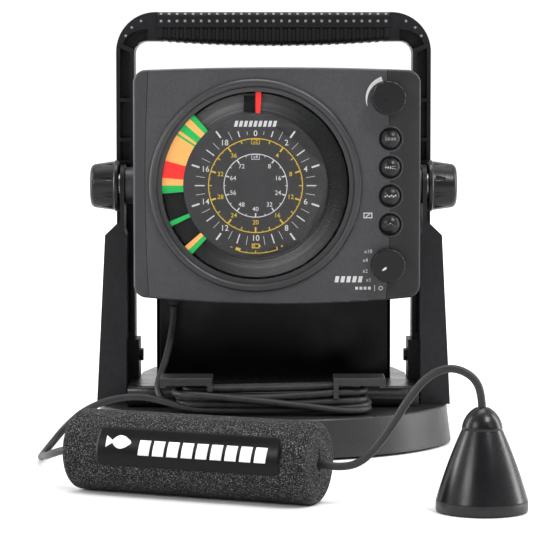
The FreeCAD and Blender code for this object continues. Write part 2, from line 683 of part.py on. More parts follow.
def make_rear_housing():
    gasket_back = D.shell_back + D.gasket_thick
    length = D.housing_back - gasket_back
    gasket = cut(
        pad("GasketOuter", "XZ_Plane", housing_outline(1.0), D.gasket_thick,
            (0, D.shell_back, 0), backward=True),
        pad("GasketInner", "XZ_Plane", housing_outline(3.0), D.gasket_thick,
            (0, D.shell_back, 0), backward=True))
    keep(gasket, "housing_gasket")

    outside = pad("HousingOutside", "XZ_Plane", housing_outline(0.8), length, (0, gasket_back, 0),
                  backward=True, draft=D.housing_draft)
    inside = pad("HousingInside", "XZ_Plane", housing_outline(0.8 + D.housing_wall), length - D.housing_wall,
                 (0, gasket_back, 0), backward=True, draft=D.housing_draft)
    soft = rounded(outside, 4.0, edge_at("y", D.housing_back))
    shell = cut(soft, inside)
    boss_length = D.boss_face - D.boss_root
    extras = [
        cylinder("x", (x, 0, D.tilt_height), D.boss_radius, boss_length)
        for x in (-D.boss_face, D.boss_root)
    ]
    for x, z in screw_places():
        extras.append(cylinder("y", (x, gasket_back, z), 4.5, length - 1))
    for x in (-60, 46):
        for z in (D.dial_z - 44, D.dial_z + 44):
            extras.append(cylinder("y", (x, D.board_front + D.board_thick, z), 3,
                                   D.housing_back - 1 - D.board_front - D.board_thick))
    holes = [cylinder("y", (x, gasket_back - 1, z), D.screw_radius + 0.2, length + 2)
             for x, z in screw_places()]
    insert_length = D.boss_face - D.insert_root
    holes += [cylinder("x", (x, 0, D.tilt_height), D.insert_radius, insert_length)
              for x in (-D.boss_face, D.insert_root)]
    gland_hole = cylinder("z", (-70, -10, 98), 5, 16)
    keep(cut(fuse(shell, *extras), group(*holes), gland_hole), "rear_housing")

    keep(group(*[tube("x", (x, 0, D.tilt_height), D.insert_radius, D.insert_bore, insert_length)
                 for x in (-D.boss_face, D.insert_root)]), "gimbal_inserts")
    screws = [fuse(cylinder("y", (x, D.shell_back - 9, z), D.screw_radius, D.housing_back - D.shell_back + 9),
                   cylinder("y", (x, D.housing_back, z), 3.6, 1.8)) for x, z in screw_places()]
    keep(group(*screws), "housing_screws")


def make_gland():
    """Strain relief of the transducer cable, through the underside of the housing."""
    profile = [
        (0, 97), (3.4, 97), (4.2, 101), (6.5, 101.6), (6.5, 104), (5, 104), (5, 112), (0, 112),
    ]
    keep(turned("Gland", "XZ_Plane", profile, "V_Axis", (-70, -10, 0)), "cable_gland")


# ---------------------------------------------------------------- dial and flasher

def make_dial():
    outer, torus, well = D.bezel_outer, D.bezel_torus, D.well_radius
    front = D.head_front
    top = front - 1
    collar = well + D.collar_wall
    bezel = [
        (well, D.collar_back), (well, top + 0.4), (outer - 2 * torus, top, torus, 1),
        (outer - torus, top - torus, torus, 1), (outer, top), (outer, front), (collar, front),
        (collar, D.collar_back),
    ]
    centre = (D.dial_x, 0, D.dial_z)
    keep(turned("Bezel", "XY_Plane", bezel, "V_Axis", centre), "dial_bezel")
    keep(cylinder("y", (D.dial_x, D.lens_front, D.dial_z), well, D.lens_thick), "dial_lens")
    back_of_lens = D.lens_front + D.lens_thick
    keep(cylinder("y", (D.dial_x, back_of_lens, D.dial_z), D.dial_face_radius, D.dial_face_thick),
         "dial_face")
    keep(cylinder("y", (D.dial_x, D.flasher_front, D.dial_z), D.flasher_radius, D.flasher_thick),
         "flasher_disc")
    keep(box((D.dial_x - 8, D.flasher_front - 1.6, D.dial_z + 50.5),
             (D.dial_x - 0.6, D.flasher_front, D.dial_z + 61.5)), "light_bar")
    hub_start = D.flasher_front + D.flasher_thick
    hub = cylinder("y", (D.dial_x, hub_start, D.dial_z), D.hub_radius, D.motor_front - 1.2 - hub_start)
    shaft = cylinder("y", (D.dial_x, hub_start, D.dial_z), D.shaft_radius, 18)
    keep(fuse(hub, shaft), "motor_shaft")
    can = cylinder("y", (D.dial_x, D.motor_front, D.dial_z), D.motor_radius, D.board_front - D.motor_front)
    bearing = cylinder("y", (D.dial_x, D.motor_front - 1, D.dial_z), D.shaft_radius + 0.06, 14)
    keep(cut(can, bearing), "flasher_motor")


# ---------------------------------------------------------------- boards and controls

def make_boards():
    main = box((-66, D.board_front, D.dial_z - 50), (52, D.board_front + D.board_thick, D.dial_z + 50))
    chips = [box((x, D.board_front - 1.4, z), (x + 12, D.board_front, z + 12))
             for x, z in ((-52, 150), (-52, 200), (22, 146), (24, 204))]
    keep(fuse(main, *chips), "main_board")
    buttons, knobs = control_places()
    board = box((68, D.control_board_front, 114), (90, D.control_board_front + 1.6, 253))
    holes = [cylinder("y", (x, D.control_board_front - 1, z), D.control_shaft + 1.6, 4) for x, z in knobs]
    keep(cut(board, group(*holes)), "control_board")
    for label, (x, z) in zip(("gain_potentiometer", "range_switch"), knobs):
        board_back = D.control_board_front + 1.6
        can = cylinder("y", (x, board_back, z), D.pot_radius, D.pot_back - board_back)
        bush = cylinder("y", (x, D.head_front, z), D.control_shaft + 1.3, board_back - D.head_front + 1)
        bore = cylinder("y", (x, D.head_front - 1, z), D.control_shaft + 0.06, 18)
        keep(cut(fuse(can, bush), bore), label)


def make_control_knob(label, x, z, flute_count, flute_depth):
    length = D.knob_back - D.knob_front
    blank = cylinder("y", (x, D.knob_front, z), D.control_knob_radius, length)
    soft = rounded(blank, 1.1, edge_at("y", D.knob_front))
    radius = 1.7
    flutes = []
    for i in range(flute_count):
        angle = 2 * math.pi * i / flute_count
        reach = D.control_knob_radius + radius - flute_depth
        flutes.append(cylinder(
            "y", (x + reach * math.cos(angle), D.knob_front - 1, z + reach * math.sin(angle)),
            radius, length - 1))
    shaft = cylinder("y", (x, D.knob_back - 4, z), D.control_shaft, 19)
    keep(fuse(cut(soft, group(*flutes)), shaft), label)


def make_buttons():
    top, edge = D.head_front - 4.4, D.head_front - 1.6
    radius, flange = D.button_radius, D.button_flange
    seat = D.head_front + D.face_thick + 0.1
    stem_end = D.control_board_front - D.button_travel - 0.2
    profile = [
        (0, stem_end), (0, top, crown_radius(radius, edge - top), 1), (radius, edge), (radius, seat),
        (flange, seat), (flange, seat + 1), (3, seat + 1), (3, stem_end),
    ]
    names = ("button_top", "button_upper", "button_lower", "button_bottom")
    for label, (x, z) in zip(names, control_places()[0]):
        keep(turned("Button", "XY_Plane", profile, "V_Axis", (x, 0, z)), label)


# ---------------------------------------------------------------- cable

def cable_path(points):
    """Straight runs joined by tangent arcs, each as large as its two runs allow."""
    points = [V(*p) for p in points]
    edges = []
    radii = []
    start = points[0]
    for before, corner, after in zip(points, points[1:], points[2:]):
        incoming = (corner - before).normalize()
        outgoing = (after - corner).normalize()
        half_turn = incoming.getAngle(outgoing) / 2
        reach = 0.45 * min((corner - before).Length, (after - corner).Length)
        radii.append(reach / math.tan(half_turn))
        arc_start = corner - incoming * reach
        arc_end = corner + outgoing * reach
        towards = (outgoing - incoming).normalize()
        depth = reach / math.sin(half_turn) * (1 - math.sin(half_turn)) if half_turn > 1 else (
            radii[-1] * (1 / math.cos(half_turn) - 1))
        edges.append(Part.LineSegment(start, arc_start).toShape())
        edges.append(Part.Arc(arc_start, corner + towards * depth, arc_end).toShape())
        start = arc_end
    edges.append(Part.LineSegment(start, points[-1]).toShape())
    return Part.Wire(edges), radii


def make_cable(label, points):
    radius = D.cable_diameter.value / 2
    path, radii = cable_path(points)
    start = V(*points[0])
    ring = Part.Wire([Part.makeCircle(radius, start, V(*points[1]) - start)])
    shape = path.makePipeShell([ring], True, False)
    expected = math.pi * radius ** 2 * path.Length
    print("%s: length %.1f, least radius %.1f, all %s, volume ratio %.4f" % (
        label, path.Length, min(radii), [round(r) for r in radii], shape.Volume / expected))
    feature = doc.addObject("Part::Feature", "Cable")
    feature.Shape = shape
    feature.Placement = FreeCAD.Placement(V(0, 0, 0), FreeCAD.Rotation())
    keep(feature, label)


def make_hank():
    """The wound part of the cable: a flat ring round both hook posts."""
    def oval(half):
        low, high = D.base_top, D.hank_top
        height = high - low
        bar = box((D.left_hook_x, D.hook_y - half, low), (D.right_hook_x, D.hook_y + half, high))
        left = cylinder("z", (D.left_hook_x, D.hook_y, low), half, height)
        right = cylinder("z", (D.right_hook_x, D.hook_y, low), half, height)
        return fuse(bar, left, right)
    whole = oval(D.hank_inner + D.hank_width)
    keep(rounded(cut(whole, oval(D.hank_inner)), 3.0,
                 lambda edge: edge_at("z", D.hank_top)(edge) or edge_at("z", D.base_top)(edge)), "cable_hank")


# ---------------------------------------------------------------- float and transducer

def make_float():
    left, right = V(*FLOAT_LEFT), V(*FLOAT_RIGHT)
    span = right - left
    length = span.Length
    yaw = FreeCAD.Rotation(V(0, 0, 1), math.degrees(math.atan2(span.y, span.x)))
    radius, soft, bore = D.float_radius, D.float_round, D.float_bore
    profile = [
        (0, bore), (length, bore), (length, radius - soft, soft, 1), (length - soft, radius),
        (soft, radius, soft, 1), (0, radius - soft),
    ]
    foam = turned("Foam", "XZ_Plane", profile, "H_Axis", FLOAT_LEFT, yaw)
    slits = []
    for start in (-1, length - 10):
        slit = doc.addObject("Part::Box", "Slit")
        for side, size in (("Length", 11), ("Width", 1.4), ("Height", 17)):
            bind(slit, side, size)
        corner = left + yaw.multVec(V(start, -0.7, -8.5))
        slits.append(place(slit, tuple(corner), yaw))
    keep(cut(foam, *slits), "foam_float")

    thick = D.label_thick
    half_height = D.label_height / 2
    start = D.label_start.value
    sleeve = []
    for reach in (radius + thick, radius):
        core = doc.addObject("Part::Cylinder", "Sleeve")
        bind(core, "Radius", reach)
        bind(core, "Height", D.label_length)
        turn = yaw.multiply(TURN_FOR_AXIS["x"])
        sleeve.append(place(core, tuple(left + yaw.multVec(V(start, 0, 0))), turn))
    window = doc.addObject("Part::Box", "Window")
    bind(window, "Length", D.label_length)
    bind(window, "Width", radius + 2)
    bind(window, "Height", D.label_height)
    lean = yaw.multiply(FreeCAD.Rotation(V(1, 0, 0), -D.label_turn.value))
    corner = left + yaw.multVec(V(start, 0, 0)) + lean.multVec(V(0, -(radius.value + 2), -half_height.value))
    place(window, tuple(corner), lean)
    keep(common(cut(*sleeve), window), "float_label")


def make_transducer():
    x, y = D.transducer_x, D.transducer_y
    wide, neck, wall = D.transducer_radius, D.transducer_neck, D.transducer_wall
    band, shoulder, top = D.transducer_band, D.transducer_shoulder, D.transducer_top
    body = [
        (wide - wall, 0), (wide - 1, 0), (wide, 1.2), (wide, band, D.cone_bulge, 1), (neck, shoulder),
        (neck - wall, shoulder), (wide - wall, band),
    ]
    keep(turned("ConeBody", "XZ_Plane", body, "V_Axis", (x, y, 0)), "transducer_body")
    keep(cylinder("z", (x, y, 0), wide - wall, 3), "transducer_face")
    keep(cylinder("z", (x, y, 3), 12, 5), "transducer_crystal")
    bore = D.cable_diameter / 2
    cap = [
        (0, shoulder), (neck, shoulder), (neck, shoulder + 1.5, D.cap_bulge, 1), (D.cap_tip, top),
        (bore, top), (bore, top - D.cap_socket), (0, top - D.cap_socket),
    ]
    dome = turned("CapDome", "XZ_Plane", cap, "V_Axis", (x, y, 0))
    notches = []
    for i in range(4):
        angle = math.radians(20 + 90 * i)
        reach = neck.value + 0.6
        centre = (x + reach * math.cos(angle), y + reach * math.sin(angle), shoulder + 2.2)
        notches.append(cylinder("z", centre,
                                D.cap_notch, 3.4))
    keep(cut(dome, group(*notches)), "transducer_cap")


# ---------------------------------------------------------------- assembly and export

def build():
    make_base()
    make_deck()
    make_hooks()
    make_upright("left_upright", -1)
    make_upright("right_upright", 1)
    make_friction_washers()
    make_gimbal_knob("left", -1)
    make_gimbal_knob("right", 1)
    make_handle()
    make_battery_case()
    make_head_shell()
    make_rear_housing()
    make_gland()
    make_dial()
    make_boards()
    make_control_knob("gain_knob", D.control_knob_x, D.gain_z, 14, 0.5)
    make_control_knob("range_knob", D.control_knob_x, D.range_z, 18, 0.35)
    make_buttons()
    make_hank()
    make_cable("drop_cable", DROP_ROUTE)
    make_cable("float_lead", LEAD_ROUTE + [FLOAT_RIGHT])
    make_cable("transducer_cable", TAIL_ROUTE)
    make_float()
    make_transducer()
    doc.recompute()


def check():
    for thing in doc.Objects:
        if "Invalid" in thing.State or "Error" in thing.State:
            raise RuntimeError("%s (%s) is %s" % (thing.Name, thing.Label, thing.State))
    for node in nodes:
        if node.Shape.isNull() or not node.Shape.isValid():
            raise RuntimeError("%s has no valid shape" % node.Label)
        if not node.Shape.Solids:
            raise RuntimeError("%s has no solid" % node.Label)


def export():
    os.makedirs(OUT_FOLDER, exist_ok=True)
    for node in nodes:
        node.Shape.exportStep(os.path.join(OUT_FOLDER, node.Label + ".step"))
    print("%d sub-parts written" % len(nodes))


build()
check()
export()
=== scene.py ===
"""Looks of the portable fish finder: materials, printed dial, cable, float and small details."""
import math

import bmesh
import bpy
from mathutils import Matrix, Vector, noise


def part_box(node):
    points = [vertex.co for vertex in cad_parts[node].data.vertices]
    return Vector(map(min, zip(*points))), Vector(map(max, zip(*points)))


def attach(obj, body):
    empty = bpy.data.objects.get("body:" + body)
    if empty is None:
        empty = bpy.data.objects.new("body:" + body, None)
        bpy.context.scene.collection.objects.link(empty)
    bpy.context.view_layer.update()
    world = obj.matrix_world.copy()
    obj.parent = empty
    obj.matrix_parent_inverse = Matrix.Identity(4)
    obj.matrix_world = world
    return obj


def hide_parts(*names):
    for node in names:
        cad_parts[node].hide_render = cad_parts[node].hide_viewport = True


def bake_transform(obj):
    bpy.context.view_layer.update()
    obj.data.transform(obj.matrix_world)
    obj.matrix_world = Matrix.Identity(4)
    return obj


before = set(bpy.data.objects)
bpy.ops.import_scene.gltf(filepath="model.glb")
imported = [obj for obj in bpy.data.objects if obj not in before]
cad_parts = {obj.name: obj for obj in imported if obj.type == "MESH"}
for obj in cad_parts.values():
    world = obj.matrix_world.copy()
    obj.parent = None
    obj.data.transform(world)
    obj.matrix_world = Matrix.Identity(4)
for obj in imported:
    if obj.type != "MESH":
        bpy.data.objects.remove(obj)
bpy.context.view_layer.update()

MM = 0.001


def lows_and_highs(node):
    low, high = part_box(node)
    return Vector(low), Vector(high)


def centre_of(node):
    low, high = lows_and_highs(node)
    return (low + high) / 2


# ---------------------------------------------------------------- driving places, from the frame

LENS_LOW, LENS_HIGH = lows_and_highs("dial_lens")
DIAL = centre_of("dial_lens")
WELL_RADIUS = (LENS_HIGH.x - LENS_LOW.x) / 2
FACE_RADIUS = (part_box("dial_face")[1][0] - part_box("dial_face")[0][0]) / 2
FACE_FRONT_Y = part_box("dial_face")[0][1]
PANEL_FRONT_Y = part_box("front_panel")[0][1]
GAIN = centre_of("gain_knob")
RANGE = centre_of("range_knob")
CABLE = 4.8 * MM


# ---------------------------------------------------------------- node helpers

class Shader:
    """A material with a Principled shader and short ways to add nodes."""

    def __init__(self, name, roughness=0.5, coat=0.0, metallic=0.0, specular=0.5):
        self.material = bpy.data.materials.new(name)
        self.material.use_nodes = True
        self.tree = self.material.node_tree
        self.bsdf = self.tree.nodes["Principled BSDF"]
        self.bsdf.inputs["Roughness"].default_value = roughness
        self.bsdf.inputs["Coat Weight"].default_value = coat
        self.bsdf.inputs["Metallic"].default_value = metallic
        self.bsdf.inputs["Specular IOR Level"].default_value = specular
        self.place = self.tree.nodes.new("ShaderNodeTexCoord").outputs["Object"]

    def link(self, output, socket):
        self.tree.links.new(output, socket)

    def noise(self, scale, detail=3.0, rough=0.5, where=None):
        node = self.tree.nodes.new("ShaderNodeTexNoise")
        node.inputs["Scale"].default_value = scale
        node.inputs["Detail"].default_value = detail
        node.inputs["Roughness"].default_value = rough
        self.link(where or self.place, node.inputs["Vector"])
        return node.outputs["Fac"]

    def ramp(self, factor, stops):
        node = self.tree.nodes.new("ShaderNodeValToRGB")
        elements = node.color_ramp.elements
        while len(elements) < len(stops):
            elements.new(0.5)
        for element, (position, colour) in zip(elements, stops):
            element.position = position
            element.color = (*colour, 1.0)
        self.link(factor, node.inputs["Fac"])
        return node.outputs["Color"]

    def math(self, operation, first, second=None, clamp=False):
        node = self.tree.nodes.new("ShaderNodeMath")
        node.operation = operation
        node.use_clamp = clamp
        for socket, value in zip(node.inputs, (first, second)):
            if value is None:
                continue
            if isinstance(value, (int, float)):
                socket.default_value = value
            else:
                self.link(value, socket)
        return node.outputs[0]

    def remap(self, value, low, high, to_low, to_high):
        node = self.tree.nodes.new("ShaderNodeMapRange")
        names = ("From Min", "From Max", "To Min", "To Max")
        for socket, number in zip(names, (low, high, to_low, to_high)):
            node.inputs[socket].default_value = number
        self.link(value, node.inputs["Value"])
        return node.outputs["Result"]

    def mix(self, factor, first, second):
        node = self.tree.nodes.new("ShaderNodeMix")
        node.data_type = "RGBA"
        sockets = (node.inputs["Factor"], node.inputs[6], node.inputs[7])
        for socket, value in zip(sockets, (factor, first, second)):
            if isinstance(value, (int, float)):
                socket.default_value = value
            elif isinstance(value, tuple):
                socket.default_value = (*value, 1.0)
            else:
                self.link(value, socket)
        return node.outputs[2]

    def colour(self, output):
        self.link(output, self.bsdf.inputs["Base Color"])

    def rough(self, output):
        self.link(output, self.bsdf.inputs["Roughness"])

    def bump(self, height, distance, strength=1.0):
        node = self.tree.nodes.new("ShaderNodeBump")
        node.inputs["Strength"].default_value = strength
        node.inputs["Distance"].default_value = distance
        self.link(height, node.inputs["Height"])
        self.link(node.outputs["Normal"], self.bsdf.inputs["Normal"])


def scaled(colour, factor):
    return tuple(c * factor for c in colour)


def plastic(name, colour, roughness, grain=1500.0, depth=0.00006, coat=0.0, wear=0.0, blotch=0.12,
            specular=0.3, speckle=0.0):
    """Moulded plastic: grain, faint tone variation, uneven gloss and lighter rubbed edges."""
    shader = Shader(name, roughness, coat, specular=specular)
    tone = shader.noise(32.0, 4.0)
    base = shader.ramp(tone, [(0.3, scaled(colour, 1 - blotch)), (0.7, scaled(colour, 1 + blotch))])
    if speckle:
        fleck = shader.noise(grain, 1.0)
        base = shader.mix(shader.remap(fleck, 0.45, 0.75, 0.0, speckle), base, scaled(colour, 3.0))
    if wear:
        geometry = shader.tree.nodes.new("ShaderNodeNewGeometry")
        edge = shader.remap(geometry.outputs["Pointiness"], 0.53, 0.62, 0.0, wear)
        broken = shader.math("MULTIPLY", edge, shader.noise(260.0, 3.0), clamp=True)
        base = shader.mix(broken, base, scaled(colour, 3.2))
    shader.colour(base)
    smudge = shader.noise(55.0, 5.0, 0.6)
    shader.rough(shader.remap(smudge, 0.3, 0.7, roughness - 0.05, roughness + 0.06))
    shader.bump(shader.noise(grain, 2.0, 0.6), depth)
    return shader.material


def brushed_metal(name, colour, roughness, stretch):
    shader = Shader(name, roughness, metallic=1.0)
    mapping = shader.tree.nodes.new("ShaderNodeMapping")
    mapping.inputs["Scale"].default_value = stretch
    shader.link(shader.place, mapping.inputs["Vector"])
    lines = shader.noise(400.0, 4.0, where=mapping.outputs["Vector"])
    shader.colour(shader.ramp(lines, [(0.3, scaled(colour, 0.8)), (0.7, scaled(colour, 1.1))]))
    shader.rough(shader.remap(lines, 0.3, 0.7, roughness - 0.08, roughness + 0.12))
    shader.bump(lines, 0.00003)
    return shader.material


def dial_distance(shader):
    """Distance from the dial's centre, across the face, in metres."""
    split = shader.tree.nodes.new("ShaderNodeSeparateXYZ")
    shader.link(shader.place, split.inputs[0])
    across = shader.math("SUBTRACT", split.outputs["X"], DIAL.x)
    up = shader.math("SUBTRACT", split.outputs["Z"], DIAL.z)
    square = shader.math("ADD", shader.math("MULTIPLY", across, across), shader.math("MULTIPLY", up, up))
    return shader.math("SQRT", square)


def ring_coordinates(shader, frequency):
    """A texture place that changes only with the distance from the dial's centre."""
    join = shader.tree.nodes.new("ShaderNodeCombineXYZ")
    shader.link(shader.math("MULTIPLY", dial_distance(shader), frequency), join.inputs[0])
    return join.outputs[0]


def turned_disc_with_painted_sheen(name, dark, light, roughness):
    """Dark disc with fine turning marks, and a painted sheen: the light colour is laid on above and below the
    centre, broken up by the marks.
    """
    shader = Shader(name, roughness, specular=0.12)
    fine = shader.noise(1.0, 5.0, 0.75, where=ring_coordinates(shader, 1100.0))
    wide = shader.noise(1.0, 2.0, where=ring_coordinates(shader, 330.0))
    marks = shader.math("ADD", shader.math("MULTIPLY", fine, 0.55), shader.math("MULTIPLY", wide, 0.45))
    split = shader.tree.nodes.new("ShaderNodeSeparateXYZ")
    shader.link(shader.place, split.inputs[0])
    up = shader.math("SUBTRACT", split.outputs["Z"], DIAL.z)
    lean = shader.math("DIVIDE", shader.math("ADD", up, shader.math(
        "MULTIPLY", shader.math("SUBTRACT", split.outputs["X"], DIAL.x), -0.35)), dial_distance(shader))
    # Painted highlight: the sheen's strength by direction from the centre, strongest above and below, dark at
    # the sides.
    painted_sheen = shader.math("POWER", shader.math("ABSOLUTE", lean), 4.0)
    lit = shader.math("MULTIPLY", painted_sheen, shader.remap(marks, 0.38, 0.62, 0.25, 1.0), clamp=True)
    shader.colour(shader.mix(lit, dark, light))
    shader.rough(shader.remap(fine, 0.3, 0.7, roughness - 0.08, roughness + 0.1))
    shader.bump(fine, 0.00002)
    return shader.material


def painted_mark(name, colour, roughness=0.45, glow=0.0, specular=0.3):
    """Printing ink: a slightly uneven solid colour."""
    shader = Shader(name, roughness, specular=specular)
    tone = shader.noise(900.0, 3.0)
    output = shader.ramp(tone, [(0.25, scaled(colour, 0.88)), (0.6, colour)])
    shader.colour(output)
    if glow:
        shader.link(output, shader.bsdf.inputs["Emission Color"])
        shader.bsdf.inputs["Emission Strength"].default_value = glow
    shader.bump(tone, 0.00001)
    return shader.material


def clear_material(name):
    shader = Shader(name, 0.03, specular=0.35)
    shader.bsdf.inputs["Base Color"].default_value = (0.02, 0.02, 0.02, 1.0)
    haze = shader.noise(70.0, 4.0)
    shader.link(shader.remap(haze, 0.3, 0.7, 0.02, 0.04), shader.bsdf.inputs["Alpha"])
    shader.rough(shader.remap(haze, 0.3, 0.7, 0.02, 0.06))
    return shader.material


def foam_material():
    """Closed-cell foam: charcoal with light and dark specks and open cells."""
    shader = Shader("foam", 0.92, specular=0.2)
    specks = shader.noise(1150.0, 2.5, 0.65)
    patches = shader.noise(240.0, 3.0)
    fleck = shader.ramp(specks, [(0.38, (0.002, 0.002, 0.002)), (0.48, (0.010, 0.010, 0.011)),
                                 (0.57, (0.035, 0.035, 0.036)), (0.68, (0.17, 0.17, 0.175))])
    shade = shader.ramp(patches, [(0.3, (0.75, 0.75, 0.75)), (0.7, (1.2, 1.2, 1.2))])
    node = shader.tree.nodes.new("ShaderNodeMix")
    node.data_type = "RGBA"
    node.blend_type = "MULTIPLY"
    node.inputs["Factor"].default_value = 1.0
    shader.link(fleck, node.inputs[6])
    shader.link(shade, node.inputs[7])
    shader.colour(node.outputs[2])
    shader.bump(specks, 0.0005)
    return shader.material


def sheath_material():
    """Matt rubber cable sheath with a dusty bloom."""
    shader = Shader("sheath", 0.5, specular=0.35)
    bloom = shader.noise(120.0, 4.0, 0.6)
    shader.colour(shader.ramp(bloom, [(0.3, (0.009, 0.009, 0.010)), (0.7, (0.019, 0.019, 0.020))]))
    shader.rough(shader.remap(bloom, 0.3, 0.7, 0.42, 0.58))
    shader.bump(shader.noise(2200.0, 2.0), 0.00004)
    return shader.material


# ---------------------------------------------------------------- materials

HEAD = plastic("head_plastic", (0.022, 0.022, 0.024), 0.38, 1300.0, 0.00014,
               wear=0.5, specular=0.45, speckle=0.5)
TRIM = plastic("trim_plastic", (0.018, 0.018, 0.020), 0.36, 1300.0, 0.00012,
               wear=0.5, specular=0.45, speckle=0.4)
STRIP = plastic("strip_plastic", (0.012, 0.012, 0.013), 0.44, 1300.0, 0.00010, wear=0.5)
STAND = plastic("stand_plastic", (0.007, 0.007, 0.008), 0.46, 1500.0, 0.00008, wear=0.7, specular=0.2)
HANDLE = plastic("handle_plastic", (0.004, 0.004, 0.005), 0.42, 1500.0, 0.00008, wear=0.7, specular=0.2)
BASE = plastic("base_plastic", (0.013, 0.013, 0.014), 0.36, 1500.0, 0.00010,
               wear=0.5, specular=0.4, speckle=0.3)
DECK = plastic("deck_plastic", (0.008, 0.008, 0.009), 0.26, 1500.0, 0.00005, specular=0.5)
CASE = plastic("case_plastic", (0.0015, 0.0015, 0.0015), 0.20, 900.0, 0.00002, specular=0.12)
KNOB = plastic("knob_plastic", (0.004, 0.004, 0.005), 0.30, 1700.0, 0.00005, wear=0.6, specular=0.3)
RUBBER = plastic("rubber", (0.008, 0.008, 0.009), 0.62, 1900.0, 0.00010, specular=0.2)
GRIP = plastic("grip_rubber", (0.004, 0.004, 0.005), 0.48, 1900.0, 0.00010, specular=0.2)
BUTTON = plastic("button_rubber", (0.008, 0.008, 0.009), 0.30, 2100.0, 0.00005)
BEZEL = plastic("bezel_plastic", (0.020, 0.020, 0.022), 0.38, 1500.0, 0.00008, wear=0.4, specular=0.45)
DIAL_FACE = plastic("dial_face_print", (0.040, 0.040, 0.042), 0.55, 1700.0, 0.00001, specular=0.15)
TRANSDUCER = plastic("transducer_plastic", (0.002, 0.002, 0.003), 0.24, 1700.0, 0.00006, specular=0.35)
BAND = plastic("transducer_band", (0.014, 0.014, 0.015), 0.4, 1700.0, 0.00005)
LABEL = plastic("label_vinyl", (0.002, 0.002, 0.002), 0.30, 700.0, 0.00003, specular=0.15)
# Painted glints: light grey on the small pads of the grip and the handle's corners, standing for highlights
# on the rubber's bumps.
PAINTED_GLINT = plastic("grip_painted_glint", (0.20, 0.20, 0.20), 0.5, 1900.0, 0.00004)
DARK_STEEL = plastic("blackened_bolt", (0.010, 0.010, 0.011), 0.35, 900.0, 0.00004)
# Flasher disc: its second, lighter colour is a painted sheen above and below the centre.
FLASHER = turned_disc_with_painted_sheen("flasher_plastic", (0.013, 0.013, 0.014), (0.115, 0.115, 0.118), 0.42)
WHITE = painted_mark("white_ink", (0.52, 0.52, 0.52))
LABEL_WHITE = painted_mark("label_ink", (0.78, 0.78, 0.78))
GREY = painted_mark("grey_ink", (0.42, 0.42, 0.42))
YELLOW = painted_mark("yellow_ink", (0.52, 0.36, 0.02))
GREEN_LIGHT = painted_mark("green_light", (0.01, 0.36, 0.07), 0.3, 0.25)
ORANGE_LIGHT = painted_mark("orange_light", (0.78, 0.36, 0.10), 0.3, 0.25)
RED_LIGHT = painted_mark("red_light", (0.75, 0.025, 0.02), 0.3, 0.3)
# Dark matt colour: the flasher's own dark block, and also painted shade in the button gaps and the transducer
# groove.
DARK_BLOCK = painted_mark("dark_block", (0.006, 0.006, 0.007), 0.4, specular=0.1)
STEEL = brushed_metal("zinc_steel", (0.55, 0.55, 0.57), 0.32, (1.0, 12.0, 1.0))
STRAP = brushed_metal("brushed_strip", (0.20, 0.20, 0.20), 0.45, (12.0, 1.0, 1.0))
BRASS = brushed_metal("turned_brass", (0.72, 0.52, 0.22), 0.28, (12.0, 1.0, 1.0))
BOARD = plastic("board_green", (0.01, 0.07, 0.02), 0.4, 500.0, 0.00005)
CERAMIC = plastic("ceramic", (0.45, 0.43, 0.38), 0.5, 900.0, 0.00004)
CLEAR = clear_material("clear_lens")
FOAM = foam_material()
SHEATH = sheath_material()

MATERIAL_OF_NODE = {
    HEAD: ("front_panel", "rear_housing"),
    TRIM: ("left_side_trim",),
    STRIP: ("control_strip",),
    HANDLE: ("handle_frame", "left_handle_socket", "right_handle_socket"),
    BASE: ("base_shell", "bottom_plate", "left_cable_hook", "right_cable_hook"),
    DECK: ("deck_platform",),
    CASE: ("battery_case", "battery_lid"),
    KNOB: ("left_gimbal_knob", "right_gimbal_knob", "gain_knob", "range_knob"),
    RUBBER: ("base_feet", "friction_washers", "housing_gasket", "cable_gland"),
    GRIP: ("handle_grip",),
    BUTTON: ("button_top", "button_upper", "button_lower", "button_bottom"),
    BEZEL: ("dial_bezel",),
    DIAL_FACE: ("dial_face",),
    FLASHER: ("flasher_disc",),
    DARK_BLOCK: ("light_bar",),
    CLEAR: ("dial_lens",),
    DARK_STEEL: ("handle_bolts", "housing_screws"),
    STEEL: ("lid_hinge_pin", "left_knob_stud", "right_knob_stud", "left_knob_washer",
            "right_knob_washer", "motor_shaft", "flasher_motor"),
    STRAP: ("deck_strip",),
    BRASS: ("gimbal_inserts",),
    BOARD: ("main_board", "control_board"),
    STAND: ("left_upright", "right_upright", "gain_potentiometer", "range_switch", "battery"),
    TRANSDUCER: ("transducer_body", "transducer_cap"),
    BAND: ("transducer_face",),
    CERAMIC: ("transducer_crystal",),
    LABEL: ("float_label",),
    FOAM: ("foam_float",),
    SHEATH: ("cable_hank", "drop_cable", "float_lead", "transducer_cable"),
}


def dress(piece, material):
    piece.data.materials.clear()
    piece.data.materials.append(material)


def dress_nodes():
    for material, names in MATERIAL_OF_NODE.items():
        for name in names:
            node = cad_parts[name]
            if not node.material_slots:
                node.data.materials.append(material)
            for slot in node.material_slots:
                slot.material = material


# ---------------------------------------------------------------- mesh helpers

def new_piece(name, mesh, material, smooth=True):
    piece = bpy.data.objects.new(name, mesh)
    bpy.context.scene.collection.objects.link(piece)
    dress(piece, material)
    for polygon in mesh.polygons:
        polygon.use_smooth = smooth
    return piece


def mesh_from(name, vertices, faces):
    mesh = bpy.data.meshes.new(name)
    mesh.from_pydata([tuple(v) for v in vertices], [], faces)
    mesh.validate()
    return mesh


def face_point(radius, clockwise_degrees, y, centre=None):
    """A point on the dial at an angle clockwise from the top, seen from the front."""
    middle = centre or DIAL
    angle = math.radians(clockwise_degrees)
    return Vector((middle.x + radius * math.sin(angle), y, middle.z + radius * math.cos(angle)))


